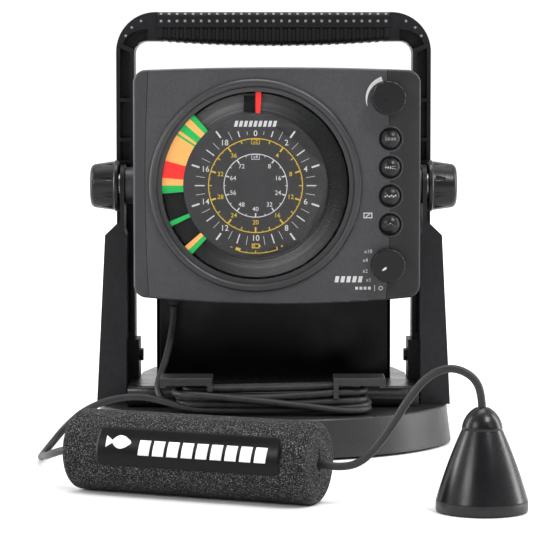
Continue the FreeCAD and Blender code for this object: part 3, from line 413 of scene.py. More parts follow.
def ring_segment(vertices, faces, inner, outer, start, end, y, thick, centre=None):
    """Adds a thin solid ring segment, in degrees clockwise from the top, to the lists."""
    steps = max(2, int(abs(end - start) / 1.5) + 1)
    first = len(vertices)
    for i in range(steps + 1):
        angle = start + (end - start) * i / steps
        for radius in (inner, outer):
            for depth in (y, y + thick):
                vertices.append(face_point(radius, angle, depth, centre))
    for i in range(steps):
        a = first + 4 * i
        b = a + 4
        faces += [(a, a + 2, b + 2, b), (a + 1, b + 1, b + 3, a + 3), (a, b, b + 1, a + 1),
                  (a + 2, a + 3, b + 3, b + 2)]
    last = first + 4 * steps
    faces += [(first, first + 1, first + 3, first + 2), (last, last + 2, last + 3, last + 1)]


def segments_piece(name, segments, y, thick, material, body="head", centre=None):
    """One piece of ring segments, each (inner, outer, start, end)."""
    vertices, faces = [], []
    for inner, outer, start, end in segments:
        ring_segment(vertices, faces, inner, outer, start, end, y, thick, centre)
    piece = new_piece(name, mesh_from(name, vertices, faces), material, smooth=False)
    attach(piece, body)
    return piece


# ---------------------------------------------------------------- printing

INK = 0.05 * MM


def slab(vertices, faces, corners, thick=INK):
    """Adds a flat plate to the lists: corners in order in front, the same ones one ink depth behind."""
    first = len(vertices)
    count = len(corners)
    vertices += [Vector(c) for c in corners]
    vertices += [Vector(c) + Vector((0, thick, 0)) for c in corners]
    faces.append(tuple(range(first, first + count)))
    faces.append(tuple(range(first + 2 * count - 1, first + count - 1, -1)))
    for i in range(count):
        after = (i + 1) % count
        faces.append((first + i, first + count + i, first + count + after, first + after))


def radial_bars(vertices, faces, bars, y, centre=None):
    """Thin bars pointing away from a centre, each (inner, outer, clockwise degrees, width)."""
    middle = centre or DIAL
    for inner, outer, degrees, width in bars:
        angle = math.radians(degrees)
        along = Vector((math.sin(angle), 0, math.cos(angle)))
        across = Vector((math.cos(angle), 0, -math.sin(angle))) * (width / 2)
        base = Vector((middle.x, y, middle.z))
        slab(vertices, faces, [base + along * inner - across, base + along * outer - across,
                               base + along * outer + across, base + along * inner + across])


def plate_at(vertices, faces, x, z, wide, tall, y, slant=0.0):
    """A small leaning rectangle, centred on (x, z)."""
    slab(vertices, faces, [(x - wide / 2 - slant, y, z - tall / 2), (x - wide / 2 + slant, y, z + tall / 2),
                           (x + wide / 2 + slant, y, z + tall / 2), (x + wide / 2 - slant, y, z - tall / 2)])


def figures(labels, size, y, weight=0.004):
    """Vertices and faces of figures set upright, each (text, x, z)."""
    vertices, faces = [], []
    for text, x, z in labels:
        curve = bpy.data.curves.new("figure", "FONT")
        curve.body = text
        curve.size = size
        curve.align_x = "CENTER"
        curve.align_y = "CENTER"
        curve.extrude = INK / 2
        curve.offset = size * weight
        curve.resolution_u = 3
        holder = bpy.data.objects.new("figure", curve)
        mesh = bpy.data.meshes.new_from_object(holder)
        first = len(vertices)
        vertices += [Vector((x + v.co.x, y - v.co.z, z + v.co.y)) for v in mesh.vertices]
        faces += [tuple(first + i for i in polygon.vertices) for polygon in mesh.polygons]
        bpy.data.objects.remove(holder)
        bpy.data.meshes.remove(mesh)
    return vertices, faces


def printed(name, vertices, faces, material, body="head"):
    piece = new_piece(name, mesh_from(name, vertices, faces), material, smooth=False)
    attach(piece, body)
    return piece


def joined(*parts):
    """One (vertices, faces) pair from several."""
    vertices, faces = [], []
    for more_vertices, more_faces in parts:
        first = len(vertices)
        vertices += more_vertices
        faces += [tuple(first + i for i in face) for face in more_faces]
    return vertices, faces


def figures_round(first, step, radius, size, y):
    """Scale figures every 36 degrees clockwise from the first mark after the top."""
    labels = []
    for i in range(1, 10):
        place = face_point(radius, 36 * i, y)
        labels.append((str(first + step * (i - 1)), place.x, place.z))
    return figures(labels, size, y)


def outline_box(vertices, faces, x, z, wide, tall, line, y):
    for side in (-1, 1):
        plate_at(vertices, faces, x, z + side * (tall - line) / 2, wide, line, y)
        plate_at(vertices, faces, x + side * (wide - line) / 2, z, line, tall - 2 * line, y)


def scale_ring(radius, line, majors, halves, quarters, y):
    """A ring with inward ticks; each tick kind is (length, width)."""
    vertices, faces = [], []
    ring_segment(vertices, faces, radius - line, radius, 0, 360, y, INK)
    bars = []
    for i in range(40):
        if i in (0, 39, 1):
            continue
        kind = majors if i % 4 == 0 else halves if i % 4 == 2 else quarters
        if kind:
            bars.append((radius - kind[0], radius - line / 2, 9 * i, kind[1]))
    radial_bars(vertices, faces, bars, y)
    return vertices, faces


def make_dial_print():
    y = FACE_FRONT_Y - INK
    vertices, faces = [], []
    bars = []
    for i in range(1, 40):
        degrees = 9 * i
        if i % 4 == 0 and i != 20:
            bars.append((40.4 * MM, 45.9 * MM, degrees, 1.15 * MM))
        elif i % 4 == 2:
            outer = 39.0 if i in (2, 38) else 41.6
            bars.append((34.9 * MM, outer * MM, degrees, 0.75 * MM))
        elif i % 2 == 1:
            outer = 37.6 if i in (1, 39) else 41.2
            bars.append((35.0 * MM, outer * MM, degrees, 0.28 * MM))
    radial_bars(vertices, faces, bars, y)
    for i in range(9):
        plate_at(vertices, faces, DIAL.x + (i - 4) * 3.3 * MM, DIAL.z + 42.3 * MM,
                 2.1 * MM, 4.0 * MM, y, 0.5 * MM)
    outer_figures = figures_round(2, 2, 36.1 * MM, 5.6 * MM, y)
    zero = figures([("0", DIAL.x, DIAL.z + 35.6 * MM)], 5.6 * MM, y)
    inner_ring = scale_ring(21.9 * MM, 0.55 * MM, (3.0 * MM, 0.9 * MM), (1.6 * MM, 0.45 * MM), None, y)
    inner_figures = figures_round(8, 8, 16.2 * MM, 4.3 * MM, y)
    inner_box = ([], [])
    outline_box(*inner_box, DIAL.x, DIAL.z + 19.6 * MM, 5.6 * MM, 3.6 * MM, 0.35 * MM, y - INK)
    inner_unit = figures([("x4", DIAL.x, DIAL.z + 19.6 * MM)], 3.2 * MM, y - INK)
    printed("dial_print_white", *joined((vertices, faces), outer_figures, zero, inner_ring, inner_figures,
                                        inner_box, inner_unit), WHITE)

    ring = scale_ring(32.5 * MM, 0.6 * MM, (4.0 * MM, 1.1 * MM), (2.6 * MM, 0.65 * MM),
                      (1.4 * MM, 0.3 * MM), y)
    numbers = figures_round(4, 4, 25.3 * MM, 4.4 * MM, y)
    box = ([], [])
    outline_box(*box, DIAL.x, DIAL.z + 30.0 * MM, 5.8 * MM, 3.4 * MM, 0.35 * MM, y - INK)
    unit = figures([("x2", DIAL.x, DIAL.z + 30.0 * MM)], 3.2 * MM, y - INK)
    gauge = ([], [])
    ring_segment(*gauge, 46.1 * MM, 46.6 * MM, 161, 194, y, INK)
    radial_bars(*gauge, [(44.6 * MM, 46.4 * MM, 180, 0.6 * MM), (44.2 * MM, 46.4 * MM, 161, 0.6 * MM),
                         (45.4 * MM, 46.4 * MM, 171, 0.35 * MM), (45.4 * MM, 46.4 * MM, 188, 0.35 * MM),
                         (44.2 * MM, 46.2 * MM, 195.5, 3.4 * MM), (45.0 * MM, 45.5 * MM, 201.5, 1.6 * MM),
                         (45.0 * MM, 45.5 * MM, 156.5, 1.6 * MM), (44.4 * MM, 46.1 * MM, 156.5, 0.45 * MM)],
                y)
    cell = Vector((DIAL.x, 0, DIAL.z - 41.4 * MM))
    outline_box(*gauge, cell.x, cell.z, 5.2 * MM, 3.2 * MM, 0.6 * MM, y)
    plate_at(*gauge, cell.x - 0.9 * MM, cell.z, 0.9 * MM, 1.6 * MM, y)
    plate_at(*gauge, cell.x + 3.0 * MM, cell.z, 0.7 * MM, 1.4 * MM, y)
    printed("dial_print_yellow", *joined(ring, numbers, box, unit, gauge), YELLOW)


# Lit echoes, in degrees to the left of the top: (start, end, material key).
ECHOES = [
    (41.0, 44.5, "green"), (44.5, 49.0, "orange"), (49.0, 54.0, "green"), (54.0, 56.0, "orange"),
    (56.0, 57.5, "green"), (57.5, 74.5, "orange"), (74.5, 85.3, "red"), (85.3, 90.0, "orange"),
    (90.0, 95.0, "green"), (112.7, 115.8, "green"), (130.7, 133.8, "orange"), (133.8, 137.2, "green"),
]


def make_echoes():
    """Light of the flasher seen through the window, and the zero mark."""
    y = LENS_HIGH.y + 0.2 * MM
    colours = {"green": GREEN_LIGHT, "orange": ORANGE_LIGHT, "red": RED_LIGHT}
    inner, outer = FACE_RADIUS + 0.1 * MM, WELL_RADIUS - 0.2 * MM
    for key, material in colours.items():
        segments = [(inner, outer, -end, -start) for start, end, kind in ECHOES if kind == key]
        if key == "red":
            segments.append((inner, outer, 0.1, 3.6))
        segments_piece("echo_" + key, segments, y, 0.3 * MM, material)


def make_face_print():
    y = PANEL_FRONT_Y - INK
    vertices, faces = [], []
    steps = 30
    for i in range(steps):
        corners = []
        here, after = i / steps, (i + 1) / steps
        for share, near in ((here, True), (here, False), (after, False), (after, True)):
            inner = (15.1 - 2.9 * share ** 0.8) * MM
            outer = 15.4 * MM
            corners.append(face_point(inner if near else outer, 250 + 92 * share, y, GAIN))
        slab(vertices, faces, corners)
    for i in range(5):
        plate_at(vertices, faces, (43.5 + 4.0 * i) * MM, 117.4 * MM, 2.6 * MM, 4.2 * MM, y, 0.4 * MM)
    for i in range(4):
        plate_at(vertices, faces, (57.0 + 2.9 * i) * MM, 111.3 * MM, 1.9 * MM, 2.0 * MM, y)
    plate_at(vertices, faces, 69.3 * MM, 111.3 * MM, 0.4 * MM, 4.0 * MM, y)
    ring_segment(vertices, faces, 1.0 * MM, 1.5 * MM, 0, 360, y, INK, Vector((73.5 * MM, 0, 111.3 * MM)))
    outline_box(vertices, faces, 64.6 * MM, 161.2 * MM, 6.0 * MM, 3.8 * MM, 0.6 * MM, y)
    radial_bars(vertices, faces, [(0, 1.6 * MM, 55, 0.6 * MM), (0, 1.6 * MM, 235, 0.6 * MM)], y,
                Vector((64.6 * MM, 0, 161.2 * MM)))
    marks = figures([("x10", 64.9 * MM, 136.4 * MM), ("x4", 62.9 * MM, 130.4 * MM),
                     ("x2", 62.9 * MM, 123.0 * MM), ("x1", 65.2 * MM, 116.9 * MM)],
                    3.7 * MM, y, 0.0)
    printed("face_print", *joined((vertices, faces), marks), WHITE)


# ---------------------------------------------------------------- handle grip

GRIP_LOW, GRIP_HIGH = lows_and_highs("handle_grip")
FRAME_LOW, FRAME_HIGH = lows_and_highs("handle_frame")
GRIP_PITCH = 5.67 * MM
RIB_TOP = GRIP_HIGH.z - 11.6 * MM
BELLY = 3.3 * MM


def grip_section(x, sunk):
    """Closed outline of the grip at one station, from the ledge in front over the top to the back."""
    reach = GRIP_HIGH.x
    bottom = GRIP_LOW.z + BELLY * (x / reach) ** 2
    front, back, top = GRIP_LOW.y, GRIP_HIGH.y, GRIP_HIGH.z
    soft = 3.6 * MM
    points = []
    for degrees in range(0, 91, 15):
        angle = math.radians(degrees)
        points.append((front + soft - soft * math.cos(angle), top - soft + soft * math.sin(angle)))
    for degrees in range(90, -1, -15):
        angle = math.radians(degrees)
        points.append((back - soft + soft * math.cos(angle), top - soft + soft * math.sin(angle)))
    points += [(back, RIB_TOP + 0.8 * MM), (back - 0.4 * MM, RIB_TOP + 0.4 * MM)]
    inset = 1.7 * MM if sunk else 0.5 * MM
    low = bottom + (0.4 * MM if sunk else 0.0)
    round_low = 4.0 * MM
    points.append((back - inset, RIB_TOP))
    for degrees in range(0, -91, -15):
        angle = math.radians(degrees)
        points.append((back - inset - round_low + round_low * math.cos(angle),
                       low + round_low + round_low * math.sin(angle)))
    for degrees in range(-90, -181, -15):
        angle = math.radians(degrees)
        points.append((front + inset + round_low + round_low * math.cos(angle),
                       low + round_low + round_low * math.sin(angle)))
    points += [(front + inset, RIB_TOP), (front + 0.4 * MM, RIB_TOP + 0.4 * MM), (front, RIB_TOP + 0.8 * MM)]
    return [Vector((x, y, z)) for y, z in points]


def loft(vertices, faces, loops):
    """Skins closed loops of equal count and caps both ends."""
    first = len(vertices)
    count = len(loops[0])
    for loop in loops:
        vertices += loop
    for i in range(len(loops) - 1):
        for k in range(count):
            a = first + i * count + k
            b = first + i * count + (k + 1) % count
            faces.append((a, b, b + count, a + count))
    faces.append(tuple(range(first, first + count))[::-1])
    last = first + (len(loops) - 1) * count
    faces.append(tuple(range(last, last + count)))


def pad(vertices, faces, spot, out, up, half, lift):
    """A small square pad standing a little proud of a surface, with a bevelled top."""
    across = up.cross(out)
    first = len(vertices)
    for size, height in ((half, -lift), (half, lift * 0.4), (half * 0.8, lift)):
        for a, b in ((-1, -1), (1, -1), (1, 1), (-1, 1)):
            vertices.append(spot + across * a * size + up * b * size + out * height)
    for layer in (0, 4):
        for k in range(4):
            a, b = first + layer + k, first + layer + (k + 1) % 4
            faces.append((a, b, b + 4, a + 4))
    faces.append((first + 8, first + 9, first + 10, first + 11))
    faces.append((first + 3, first + 2, first + 1, first))


def make_grip():
    reach = GRIP_HIGH.x
    stations = [(-reach, False), (-reach + 1.5 * MM, False)]
    half_gap = 1.45 * MM
    for i in range(-14, 14):
        middle = (i + 0.5) * GRIP_PITCH
        if abs(middle) + half_gap > reach - 1.8 * MM:
            continue
        stations += [(middle - half_gap - 0.35 * MM, False), (middle - half_gap, True),
                     (middle + half_gap, True), (middle + half_gap + 0.35 * MM, False)]
    stations += [(reach - 1.5 * MM, False), (reach, False)]
    vertices, faces = [], []
    loft(vertices, faces, [grip_section(x, sunk) for x, sunk in stations])
    grip = new_piece("ribbed_grip", mesh_from("ribbed_grip", vertices, faces), GRIP, smooth=False)
    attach(grip, "stand")
    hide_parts("handle_grip")

    # Small pads along the grip's front and back and round the frame's corners, coloured light grey as painted
    # glints.
    vertices, faces = [], []
    half = 0.85 * MM
    lift = 0.12 * MM
    for side in (-1, 1):
        front = GRIP_LOW.y if side < 0 else GRIP_HIGH.y
        for i in range(-14, 15):
            x = i * GRIP_PITCH
            pads = [((0, side, 0), (front, GRIP_HIGH.z - 6.4 * MM)),
                    ((0, side * 0.766, 0.643), (front - side * 0.84 * MM, GRIP_HIGH.z - 1.29 * MM))]
            for normal, (y, z) in pads:
                out = Vector(normal)
                up = Vector((0, -out.z, out.y)) * side
                pad(vertices, faces, Vector((x, y, z)), out, up, half, lift)
    for side in (-1, 1):
        for degrees in (25.5, 44.5, 62.0):
            angle = math.radians(degrees)
            corner = Vector((side * (FRAME_HIGH.x - 28 * MM), FRAME_LOW.y, FRAME_HIGH.z - 28 * MM))
            away = Vector((side * math.sin(angle), 0, math.cos(angle)))
            pad(vertices, faces, corner + away * 24.0 * MM, Vector((0, -1, 0)), away, half * 0.9, lift)
    pads = new_piece("grip_painted_glints", mesh_from("grip_painted_glints", vertices, faces), PAINTED_GLINT, smooth=False)
    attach(pads, "stand")


# ---------------------------------------------------------------- buttons and knobs

def button_symbol(kind, x, z):
    """Small plates, in the plane of the face, as (x, z, wide, tall)."""
    unit = 1.0 * MM
    if kind == 0:
        return [(x + (i - 1.5) * 2.0 * unit, z, 1.3 * unit, 1.5 * unit) for i in range(4)]
    if kind == 1:
        return [(x + (i - 2) * 1.6 * unit, z, 0.9 * unit, (0.9 + 0.3 * i) * unit) for i in range(5)]
    if kind == 2:
        return [(x + (i - 2.5) * 1.4 * unit, z + (0.35 if i % 2 else -0.35) * unit, 1.0 * unit, 0.9 * unit)
                for i in range(6)]
    return [(x, z + (0.9 - 0.75 * i) * unit, (1.0 + 2.0 * i) * unit, 0.45 * unit) for i in range(4)]


def button_height(node, x, z):
    """Front of the button's dome above a place on the face."""
    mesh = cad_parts[node]
    low, _ = lows_and_highs(node)
    origin = mesh.matrix_world.inverted() @ Vector((x, low.y - 10 * MM, z))
    direction = mesh.matrix_world.inverted().to_3x3() @ Vector((0, 1, 0))
    hit, place, _, _ = mesh.ray_cast(origin, direction)
    return (mesh.matrix_world @ place).y if hit else low.y


def make_button_marks():
    names = (("button_top", "button_a"), ("button_upper", "button_b"), ("button_lower", "button_c"),
             ("button_bottom", "button_d"))
    for kind, (node, body) in enumerate(names):
        spot = centre_of(node)
        vertices, faces = [], []
        for x, z, wide, tall in button_symbol(kind, spot.x, spot.z):
            corners = []
            for a, b in ((-1, -1), (-1, 1), (1, 1), (1, -1)):
                px, pz = x + a * wide / 2, z + b * tall / 2
                corners.append((px, button_height(node, px, pz) - INK * 0.8, pz))
            slab(vertices, faces, corners, INK * 2)
        printed(node + "_mark", vertices, faces, GREY, body)
        rim = turned_ring(spot, [(6.75, -0.9), (7.5, -0.55), (8.0, -0.1), (8.35, 0.12), (8.8, 0.02),
                                 (8.8, -0.9)])
        ring = new_piece(node + "_rim", rim, HEAD)
        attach(ring, "head")
        # Painted shade: a dark ring sunk in the gap round each button, where the recess's shade falls.
        painted_shade_ring = turned_ring(spot, [(6.36, -0.9), (6.36, -0.35), (6.6, -0.25), (6.8, -0.35), (6.8, -0.9)])
        dark = new_piece(node + "_collar", painted_shade_ring, DARK_BLOCK)
        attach(dark, "head")


def turned_ring(spot, profile, steps=72):
    """A ring round an axis along Y: profile points are (radius, height off the face) in millimetres."""
    vertices, faces = [], []
    count = len(profile)
    for i in range(steps):
        angle = 2 * math.pi * i / steps
        for radius, height in profile:
            vertices.append((spot.x + radius * MM * math.cos(angle), PANEL_FRONT_Y - height * MM,
                             spot.z + radius * MM * math.sin(angle)))
    for i in range(steps):
        after = (i + 1) % steps
        for k in range(count):
            faces.append((i * count + k, i * count + (k + 1) % count, after * count + (k + 1) % count,
                          after * count + k))
    return mesh_from("ring", vertices, faces)


def make_pointer():
    """Small drop-shaped mark on the range knob, pointing down to the left."""
    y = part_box("range_knob")[0][1] - INK * 0.6
    vertices, faces = [], []
    away = Vector((-math.cos(math.radians(38)), 0, -math.sin(math.radians(38))))
    across = Vector((away.z, 0, -away.x))
    spot = Vector((RANGE.x, y, RANGE.z)) + away * 3.6 * MM
    outline = []
    for i in range(16):
        angle = 2 * math.pi * i / 16
        along = math.cos(angle)
        width = math.sin(angle) * (0.72 + 0.28 * along)
        outline.append(spot + away * along * 1.9 * MM * -1 + across * width * 1.05 * MM)
    slab(vertices, faces, outline)
    printed("range_pointer", vertices, faces, WHITE, "range_control")


# ---------------------------------------------------------------- float and label

FLOAT_LEFT = Vector((-0.120, -0.219, 0.025))
FLOAT_RIGHT = Vector((0.027, -0.285, 0.025))
FLOAT_RADIUS = 25.0 * MM
FLOAT_LENGTH = (FLOAT_RIGHT - FLOAT_LEFT).length
FLOAT_YAW = math.atan2(FLOAT_RIGHT.y - FLOAT_LEFT.y, FLOAT_RIGHT.x - FLOAT_LEFT.x)
FLOAT_PLACE = Matrix.Translation(FLOAT_LEFT) @ Matrix.Rotation(FLOAT_YAW, 4, "Z")


def foam_point(along, radius, angle):
    """A point of the float: angle 0 faces out of its front, positive turns upward; slightly lumpy."""
    spot = Vector((along, -radius * math.cos(angle), radius * math.sin(angle)))
    if radius > 0.6 * FLOAT_RADIUS:
        lumps = noise.fractal(spot * 60, 1.0, 2.0, 3) * 0.5 + 0.5
        spot.yz = spot.yz * (1 - 0.010 * min(1, max(0, lumps)))
    return FLOAT_PLACE @ spot


def make_float():
    soft, bore = 4.0 * MM, CABLE / 2 + 0.2 * MM
    profile = [(0.0, bore), (0.0, 9 * MM), (0.0, 15 * MM), (0.0, FLOAT_RADIUS - soft)]
    for degrees in range(15, 91, 15):
        angle = math.radians(degrees)
        profile.append((soft - soft * math.cos(angle), FLOAT_RADIUS - soft + soft * math.sin(angle)))
    bands = 110
    for i in range(1, bands):
        profile.append((soft + (FLOAT_LENGTH - 2 * soft) * i / bands, FLOAT_RADIUS))
    profile += [(FLOAT_LENGTH - along, radius) for along, radius in profile[9::-1]]
    steps = 150
    vertices, faces = [], []
    for along, radius in profile:
        for k in range(steps):
            vertices.append(foam_point(along, radius, 2 * math.pi * k / steps))
    count = len(profile)
    for i in range(count):
        for k in range(steps):
            a, b = i * steps + k, i * steps + (k + 1) % steps
            c, d = (i + 1) % count * steps + (k + 1) % steps, (i + 1) % count * steps + k
            faces.append((a, d, c, b))
    foam = new_piece("speckled_float", mesh_from("speckled_float", vertices, faces), FOAM)
    slits = bmesh.new()
    for start in (-1 * MM, FLOAT_LENGTH - 10 * MM):
        centre = Vector((start + 5.5 * MM, 0, 0))
        shape = Matrix.Diagonal((11 * MM, 1.4 * MM, 17 * MM, 1))
        bmesh.ops.create_cube(slits, size=1, matrix=FLOAT_PLACE @ Matrix.Translation(centre) @ shape)
    cut_away(foam, slits)
    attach(foam, "stand")
    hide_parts("foam_float")


def cut_away(piece, tool_bmesh):
    """Removes closed boxes or prisms from a closed piece."""
    mesh = bpy.data.meshes.new("cutter")
    tool_bmesh.to_mesh(mesh)
    tool_bmesh.free()
    cutter = bpy.data.objects.new("cutter", mesh)
    bpy.context.scene.collection.objects.link(cutter)
    modifier = piece.modifiers.new("cut", "BOOLEAN")
    modifier.operation = "DIFFERENCE"
    modifier.solver = "EXACT"
    modifier.object = cutter
    bpy.context.view_layer.update()
    result = bpy.data.meshes.new_from_object(piece.evaluated_get(bpy.context.evaluated_depsgraph_get()))
    piece.modifiers.clear()
    piece.data = result
    bpy.data.objects.remove(cutter)


def label_point(along, height, lift):
    """A point on the float's wrap: distance along it, arc height above its middle line, lift off the foam."""
    radius = FLOAT_RADIUS + lift
    angle = height / FLOAT_RADIUS + LABEL_TURN
    return FLOAT_PLACE @ Vector((along, -radius * math.cos(angle), radius * math.sin(angle)))


LABEL_START, LABEL_END = 24.6 * MM, 146.6 * MM
LABEL_HALF = 12.0 * MM
LABEL_TURN = math.radians(15)


def label_patch(vertices, faces, outline_rows, low, high):
    """Skins rows of (along, height) points into a thin curved plate between two lifts."""
    first = len(vertices)
    rows, width = len(outline_rows), len(outline_rows[0])
    for lift in (high, low):
        for row in outline_rows:
            vertices += [label_point(along, height, lift) for along, height in row]
    layer = rows * width
    for i in range(rows - 1):
        for k in range(width - 1):
            a = first + i * width + k
            faces.append((a, a + 1, a + width + 1, a + width))
            faces.append((a + layer + width, a + layer + width + 1, a + layer + 1, a + layer))
    rim = [k for k in range(width)] + [i * width + width - 1 for i in range(1, rows)]
    rim += [(rows - 1) * width + k for k in range(width - 2, -1, -1)]
    rim += [i * width for i in range(rows - 2, 0, -1)]
    for a, b in zip(rim, rim[1:] + rim[:1]):
        faces.append((first + b, first + a, first + a + layer, first + b + layer))


def make_label():
    corner = 3.0 * MM
    rows = []
    for i in range(19):
        height = -LABEL_HALF + 2 * LABEL_HALF * i / 18
        over = max(0.0, abs(height) - (LABEL_HALF - corner))
        inset = corner - math.sqrt(max(0.0, corner * corner - over * over))
        start, end = LABEL_START + inset, LABEL_END - inset
        rows.append([(start + (end - start) * k / 60, height) for k in range(61)])
    vertices, faces = [], []
    label_patch(vertices, faces, rows, -0.25 * MM, 0.22 * MM)
    label = new_piece("glossy_label", mesh_from("glossy_label", vertices, faces), LABEL)
    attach(label, "stand")
    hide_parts("float_label")
    make_label_marks()


def make_label_marks():
    """Plain white marks: a stylised fish, tail and body, at the left, then a row of leaning blocks."""
    vertices, faces = [], []
    low, high = 0.18 * MM, 0.30 * MM
    fish_centre = LABEL_START + 15.0 * MM
    rows = []
    for i in range(25):
        share = i / 24
        along = fish_centre - 8.5 * MM + 17 * MM * share
        if share < 0.26:
            half = (3.6 - 11.0 * share) * MM
        else:
            body = (share - 0.26) / 0.74
            half = (0.75 + 3.4 * math.sin(math.pi * body ** 0.8)) * MM * (1 if body < 0.985 else 0.3)
        rows.append([(along, 2.6 * MM + max(0.2 * MM, half) * (k / 3 - 1)) for k in range(7)])
    label_patch(vertices, faces, [list(r) for r in zip(*rows)], low, high)
    for i in range(9):
        start = LABEL_START + 29.0 * MM + 9.6 * MM * i
        wide, tall = 7.4 * MM, 4.6 * MM
        rows = []
        for k in range(7):
            height = -tall + 2 * tall * k / 6
            lean = 0.10 * height
            rows.append([(start + lean + wide * j / 6, height - 0.2 * MM) for j in range(7)])
        label_patch(vertices, faces, rows, low, high)
    marks = new_piece("label_marks", mesh_from("label_marks", vertices, faces), LABEL_WHITE)
    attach(marks, "stand")


# ---------------------------------------------------------------- transducer and handle corners

def make_transducer_band():
    """Lighter foot band, with a dark matt ring over it as the painted shade of a shallow groove; no recess is
    cut.
    """
    low, high = lows_and_highs("transducer_body")
    x, y = (low.x + high.x) / 2, (low.y + high.y) / 2
    radius = (high.x - low.x) / 2
    steps = 120
    for name, profile, material in (
            ("transducer_foot", [(-0.6, 0.1), (-0.3, 0.3), (0.06, 1.3), (0.08, 3.8), (0.06, 6.3), (-0.1, 6.6),
                                 (-0.8, 6.6), (-0.8, 0.1)], BAND),
            # Painted shade: the groove is a flat dark ring standing a hair proud of the body.
            ("transducer_groove_painted_shade", [(-0.7, 6.55), (0.02, 6.55), (0.02, 7.05), (-0.7, 7.05)], DARK_BLOCK)):
        vertices, faces = [], []
        count = len(profile)
        for i in range(steps):
            angle = 2 * math.pi * i / steps
            for out, height in profile:
                reach = radius + out * MM
                vertices.append((x + reach * math.cos(angle), y + reach * math.sin(angle), height * MM))
        for i in range(steps):
            after = (i + 1) % steps
            for k in range(count):
                faces.append((i * count + k, after * count + k, after * count + (k + 1) % count,
                              i * count + (k + 1) % count))
        piece = new_piece(name, mesh_from(name, vertices, faces), material)
        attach(piece, "stand")


# Recess outlines in the handle's corner and leg, in millimetres (x away from the middle, z).
CORNER_RECESS = [(106.6, 279.2), (104.2, 283.8), (100.6, 287.0), (96.2, 289.0), (89.0, 290.0), (89.0, 282.8),
                 (94.0, 281.2), (98.6, 276.0)]
LEG_RECESS = [(108.4, 276.6), (101.5, 273.6), (101.5, 266.5), (108.4, 266.5)]


def make_handle_frame():
    """The handle with open recesses in its corners, like those along its legs."""
    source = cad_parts["handle_frame"]
    mesh = source.data.copy()
    mesh.transform(source.matrix_world)
    piece = bpy.data.objects.new("recessed_handle", mesh)
    bpy.context.scene.collection.objects.link(piece)
    prisms = bmesh.new()
    for side in (-1, 1):
        for outline in (CORNER_RECESS, LEG_RECESS):
            rings = []
            for y in (FRAME_LOW.y - 2 * MM, FRAME_LOW.y + 8 * MM):
                rings.append([prisms.verts.new((side * x * MM, y, z * MM)) for x, z in outline])
            near, far = rings
            if side > 0:
                near, far = near[::-1], far[::-1]
            prisms.faces.new(near)
            prisms.faces.new(far[::-1])
            for k in range(len(near)):
                after = (k + 1) % len(near)
                prisms.faces.new((near[k], far[k], far[after], near[after]))
    bmesh.ops.recalc_face_normals(prisms, faces=prisms.faces)
    cut_away(piece, prisms)
    dress(piece, HANDLE)
    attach(piece, "stand")
    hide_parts("handle_frame")


# ---------------------------------------------------------------- cable

# The same points as the cable's own parts, in metres.
DROP_ROUTE = [
    (-0.070, -0.010, 0.097), (-0.070, -0.010, 0.087), (-0.072, -0.020, 0.072), (-0.075, -0.031, 0.0595),
    (-0.0785, -0.041, 0.050), (-0.080, -0.0515, 0.041), (-0.0735, -0.0575, 0.033), (-0.060, -0.057, 0.031),
]
LEAD_ROUTE = [
    (-0.057, -0.0768, 0.031), (-0.074, -0.0755, 0.037), (-0.092, -0.074, 0.0405), (-0.112, -0.073, 0.0375),
    (-0.129, -0.0725, 0.030), (-0.1415, -0.0725, 0.0185), (-0.1495, -0.076, 0.0088),
    (-0.154, -0.086, 0.0036), (-0.155, -0.100, 0.0026), (-0.1532, -0.117, 0.005), (-0.150, -0.137, 0.0086),
    (-0.1466, -0.158, 0.0114), (-0.1436, -0.178, 0.0146), (-0.1396, -0.1935, 0.0178),
    (-0.1335, -0.2065, 0.0214), (-0.122, -0.2181, 0.025),
]
TAIL_ROUTE = [
    (0.027, -0.285, 0.025), (0.038, -0.2895, 0.0232), (0.0505, -0.292, 0.0255), (0.061, -0.294, 0.036),
    (0.071, -0.296, 0.051), (0.0805, -0.298, 0.067), (0.091, -0.300, 0.0795), (0.104, -0.302, 0.0845),
    (0.1165, -0.3045, 0.0795), (0.1219, -0.306, 0.069), (0.122, -0.306, 0.055),
]
HOOK_Y = -0.064
LEFT_POST, RIGHT_POST = -0.0505, 0.048


# Turns of the hank, in millimetres: reach off the hooks' line behind and in front, then heights at the
# back left, back right, front right and front left, then sag and bulge of the front run.
HANK_TURNS = [
    (9.0, 9.0, 30.6, 31.2, 31.6, 31.4, 0.6, 0.2), (9.0, 9.0, 34.2, 35.2, 36.2, 36.4, 1.0, 0.4),
    (9.0, 9.1, 39.0, 40.0, 41.2, 41.0, 1.6, 0.3), (9.0, 9.2, 43.6, 45.6, 47.0, 44.6, 0.4, 0.5),
    (13.8, 14.1, 42.8, 42.6, 43.4, 39.6, 1.8, 0.6), (13.8, 14.3, 37.6, 37.8, 37.4, 35.2, 1.2, 0.8),
    (13.8, 18.9, 33.2, 32.4, 31.0, 41.8, -0.6, 0.6), (18.6, 14.2, 42.0, 36.0, 32.6, 30.8, 0.9, 0.5),
]


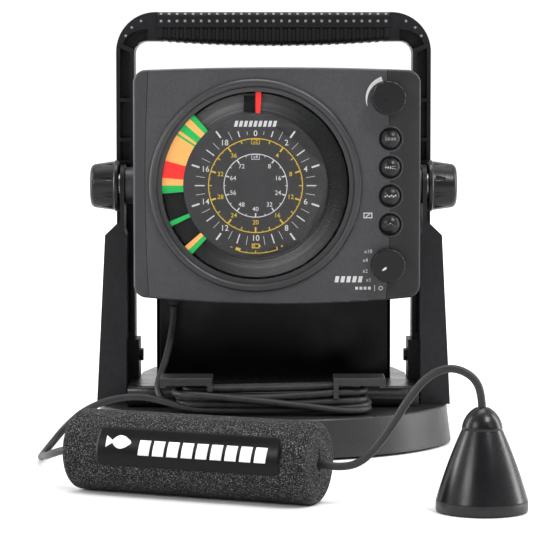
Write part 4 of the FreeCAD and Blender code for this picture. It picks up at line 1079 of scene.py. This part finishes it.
def hank_turn(points, turn, next_height):
    """One turn round both posts: back run to the right, front run to the left."""
    back, front, back_left, back_right, front_right, front_left, sag, bulge = [n * MM for n in turn]
    shares = (0.0, 0.25, 0.5, 0.75, 1.0)
    for share in shares:
        x = LEFT_POST + (RIGHT_POST - LEFT_POST) * share
        points.append((x, HOOK_Y + back, back_left + (back_right - back_left) * share))
    widen = 1 / math.cos(math.radians(18))
    for i, degrees in enumerate((54, 18, -18, -54)):
        part = (i + 0.5) / 4
        reach = (back + (front - back) * part) * widen
        angle = math.radians(degrees)
        points.append((RIGHT_POST + reach * math.cos(angle), HOOK_Y + reach * math.sin(angle),
                       back_right + (front_right - back_right) * part))
    for share in shares[::-1]:
        swell = math.sin(math.pi * share)
        x = LEFT_POST + (RIGHT_POST - LEFT_POST) * share
        points.append((x, HOOK_Y - front - bulge * swell,
                       front_left + (front_right - front_left) * share - sag * swell))
    for i, degrees in enumerate((-126, -162, -198, -234)):
        part = (i + 0.5) / 4
        reach = (front + (back - front) * part) * widen
        angle = math.radians(degrees)
        points.append((LEFT_POST + reach * math.cos(angle), HOOK_Y + reach * math.sin(angle),
                       front_left + (next_height - front_left) * part))


def hank_route():
    """The wound cable: an inner layer that climbs, an outer one, and a strand laid across the front."""
    points = []
    for i, turn in enumerate(HANK_TURNS):
        after = HANK_TURNS[i + 1][2] if i + 1 < len(HANK_TURNS) else turn[5]
        hank_turn(points, turn, after * MM)
    return points[:-5]


def smooth_curve(name, points, radius=0.0):
    curve = bpy.data.curves.new(name, "CURVE")
    curve.dimensions = "3D"
    curve.resolution_u = 6
    curve.bevel_depth = radius
    curve.bevel_resolution = 5
    curve.use_fill_caps = True
    spline = curve.splines.new("NURBS")
    spline.points.add(len(points) - 1)
    for target, point in zip(spline.points, points):
        target.co = (*point, 1.0)
    spline.order_u = 3
    spline.use_endpoint_u = True
    piece = bpy.data.objects.new(name, curve)
    bpy.context.scene.collection.objects.link(piece)
    return piece


def curve_line(piece):
    """The curve's own points, as a list of vectors."""
    bpy.context.view_layer.update()
    mesh = bpy.data.meshes.new_from_object(piece)
    line = [v.co.copy() for v in mesh.vertices]
    bpy.data.meshes.remove(mesh)
    return line


def line_length(line):
    return sum((b - a).length for a, b in zip(line, line[1:]))


def main_cable():
    """Hank, lead, run through the float, and tail to the transducer."""
    route = [DROP_ROUTE[-1]] + hank_route() + LEAD_ROUTE + [(-0.110, -0.2235, 0.025)] + TAIL_ROUTE
    probe = smooth_curve("probe", route)
    length = line_length(curve_line(probe))
    bpy.data.objects.remove(probe)
    cable = smooth_curve("long_cable", route, CABLE / 2)
    dress(cable, SHEATH)
    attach(cable, "stand")
    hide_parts("cable_hank", "float_lead", "transducer_cable")
    return cable, length


def drop_cable():
    """From the gland under the head down to the hank, as a tube."""
    guide = smooth_curve("drop_guide", DROP_ROUTE)
    path = curve_line(guide)
    bpy.data.objects.remove(guide)
    sides = 20
    vertices, faces = [], []
    turn = Vector((1, 0, 0))
    for i, point in enumerate(path):
        along = (path[min(i + 1, len(path) - 1)] - path[max(i - 1, 0)]).normalized()
        turn = (turn - along * turn.dot(along)).normalized()
        other = along.cross(turn)
        for k in range(sides):
            angle = 2 * math.pi * k / sides
            vertices.append(point + (turn * math.cos(angle) + other * math.sin(angle)) * CABLE / 2)
    for i in range(len(path) - 1):
        for k in range(sides):
            a = i * sides + k
            b = i * sides + (k + 1) % sides
            faces.append((a, b, b + sides, a + sides))
    faces.append(tuple(range(sides))[::-1])
    faces.append(tuple(range((len(path) - 1) * sides, len(path) * sides)))
    piece = new_piece("drop_cable_sheath", mesh_from("drop_cable_sheath", vertices, faces), SHEATH)
    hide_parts("drop_cable")
    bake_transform(piece)
    return piece, path


def make_cables():
    drop, path = drop_cable()
    cable, length = main_cable()


# ---------------------------------------------------------------- stage, light and camera

def paper_material():
    """White studio paper: takes soft shadows near the object and brightens to white far off."""
    shader = Shader("floor_paper", 0.9, specular=0.1)
    tone = shader.noise(14.0, 3.0)
    shader.colour(shader.ramp(tone, [(0.3, (0.80, 0.80, 0.80)), (0.7, (0.83, 0.83, 0.83))]))
    length = shader.tree.nodes.new("ShaderNodeVectorMath")
    length.operation = "LENGTH"
    shader.link(shader.place, length.inputs[0])
    shader.bsdf.inputs["Emission Color"].default_value = (1.0, 1.0, 1.0, 1.0)
    glow = shader.remap(length.outputs["Value"], 0.45, 1.3, 0.0, 0.6)
    shader.link(glow, shader.bsdf.inputs["Emission Strength"])
    return shader.material


def make_stage():
    mesh = mesh_from("floor", [(-8, -6, 0), (8, -6, 0), (8, 8, 0), (-8, 8, 0)], [(0, 1, 2, 3)])
    floor = new_piece("floor", mesh, paper_material(), smooth=False)
    floor.location.z = -0.0002


def area_light(name, location, target, size, power, shape_y=None):
    light = bpy.data.lights.new(name, "AREA")
    light.energy = power
    light.size = size
    if shape_y:
        light.shape = "RECTANGLE"
        light.size_y = shape_y
    lamp = bpy.data.objects.new(name, light)
    lamp.location = location
    direction = Vector(target) - Vector(location)
    lamp.rotation_euler = direction.to_track_quat("-Z", "Y").to_euler()
    bpy.context.scene.collection.objects.link(lamp)


def make_world():
    """White surround behind and beside, greyer where the dial faces."""
    world = bpy.data.worlds.new("studio")
    world.use_nodes = True
    tree = world.node_tree
    split = tree.nodes.new("ShaderNodeSeparateXYZ")
    tree.links.new(tree.nodes.new("ShaderNodeTexCoord").outputs["Generated"], split.inputs[0])
    ramp = tree.nodes.new("ShaderNodeMapRange")
    for socket, number in (("From Min", -0.75), ("From Max", -0.1), ("To Min", 0.42), ("To Max", 1.05)):
        ramp.inputs[socket].default_value = number
    tree.links.new(split.outputs["Y"], ramp.inputs["Value"])
    tree.nodes["Background"].inputs["Color"].default_value = (1.0, 1.0, 1.0, 1.0)
    tree.links.new(ramp.outputs["Result"], tree.nodes["Background"].inputs["Strength"])
    bpy.context.scene.world = world


def make_lights():
    make_world()
    middle = (0, 0, 0.15)
    area_light("key", (0.85, -1.15, 1.45), middle, 0.4, 20)
    area_light("fill", (-1.1, -1.3, 0.8), middle, 0.5, 8)
    area_light("top", (0, 0.1, 1.9), middle, 0.9, 16)
    area_light("rim_left", (-1.3, 0.1, 0.5), middle, 0.3, 12, 1.2)
    area_light("rim_right", (1.3, 0.1, 0.5), middle, 0.3, 12, 1.2)


# Camera: millimetres on a 36 mm sensor, degrees below level, and metres.
LENS = 165.4552
PITCH = 3.9819
EYE = (0.0, -1.765, 0.240)


def make_camera():
    """Level with the upper dial, far off, tilted slightly down."""
    camera = bpy.data.cameras.new("camera")
    camera.sensor_fit = "HORIZONTAL"
    camera.sensor_width = 36.0
    camera.lens = LENS
    camera.clip_end = 20.0
    eye = bpy.data.objects.new("camera", camera)
    eye.location = EYE
    eye.rotation_euler = (math.radians(90 - PITCH), 0, 0)
    bpy.context.scene.collection.objects.link(eye)
    bpy.context.scene.camera = eye
    bpy.context.scene.view_settings.view_transform = "Standard"


# ---------------------------------------------------------------- build

make_camera()
make_lights()
make_stage()
dress_nodes()
make_dial_print()
make_echoes()
make_face_print()
make_grip()
make_button_marks()
make_pointer()
make_float()
make_label()
make_transducer_band()
make_handle_frame()
make_cables()
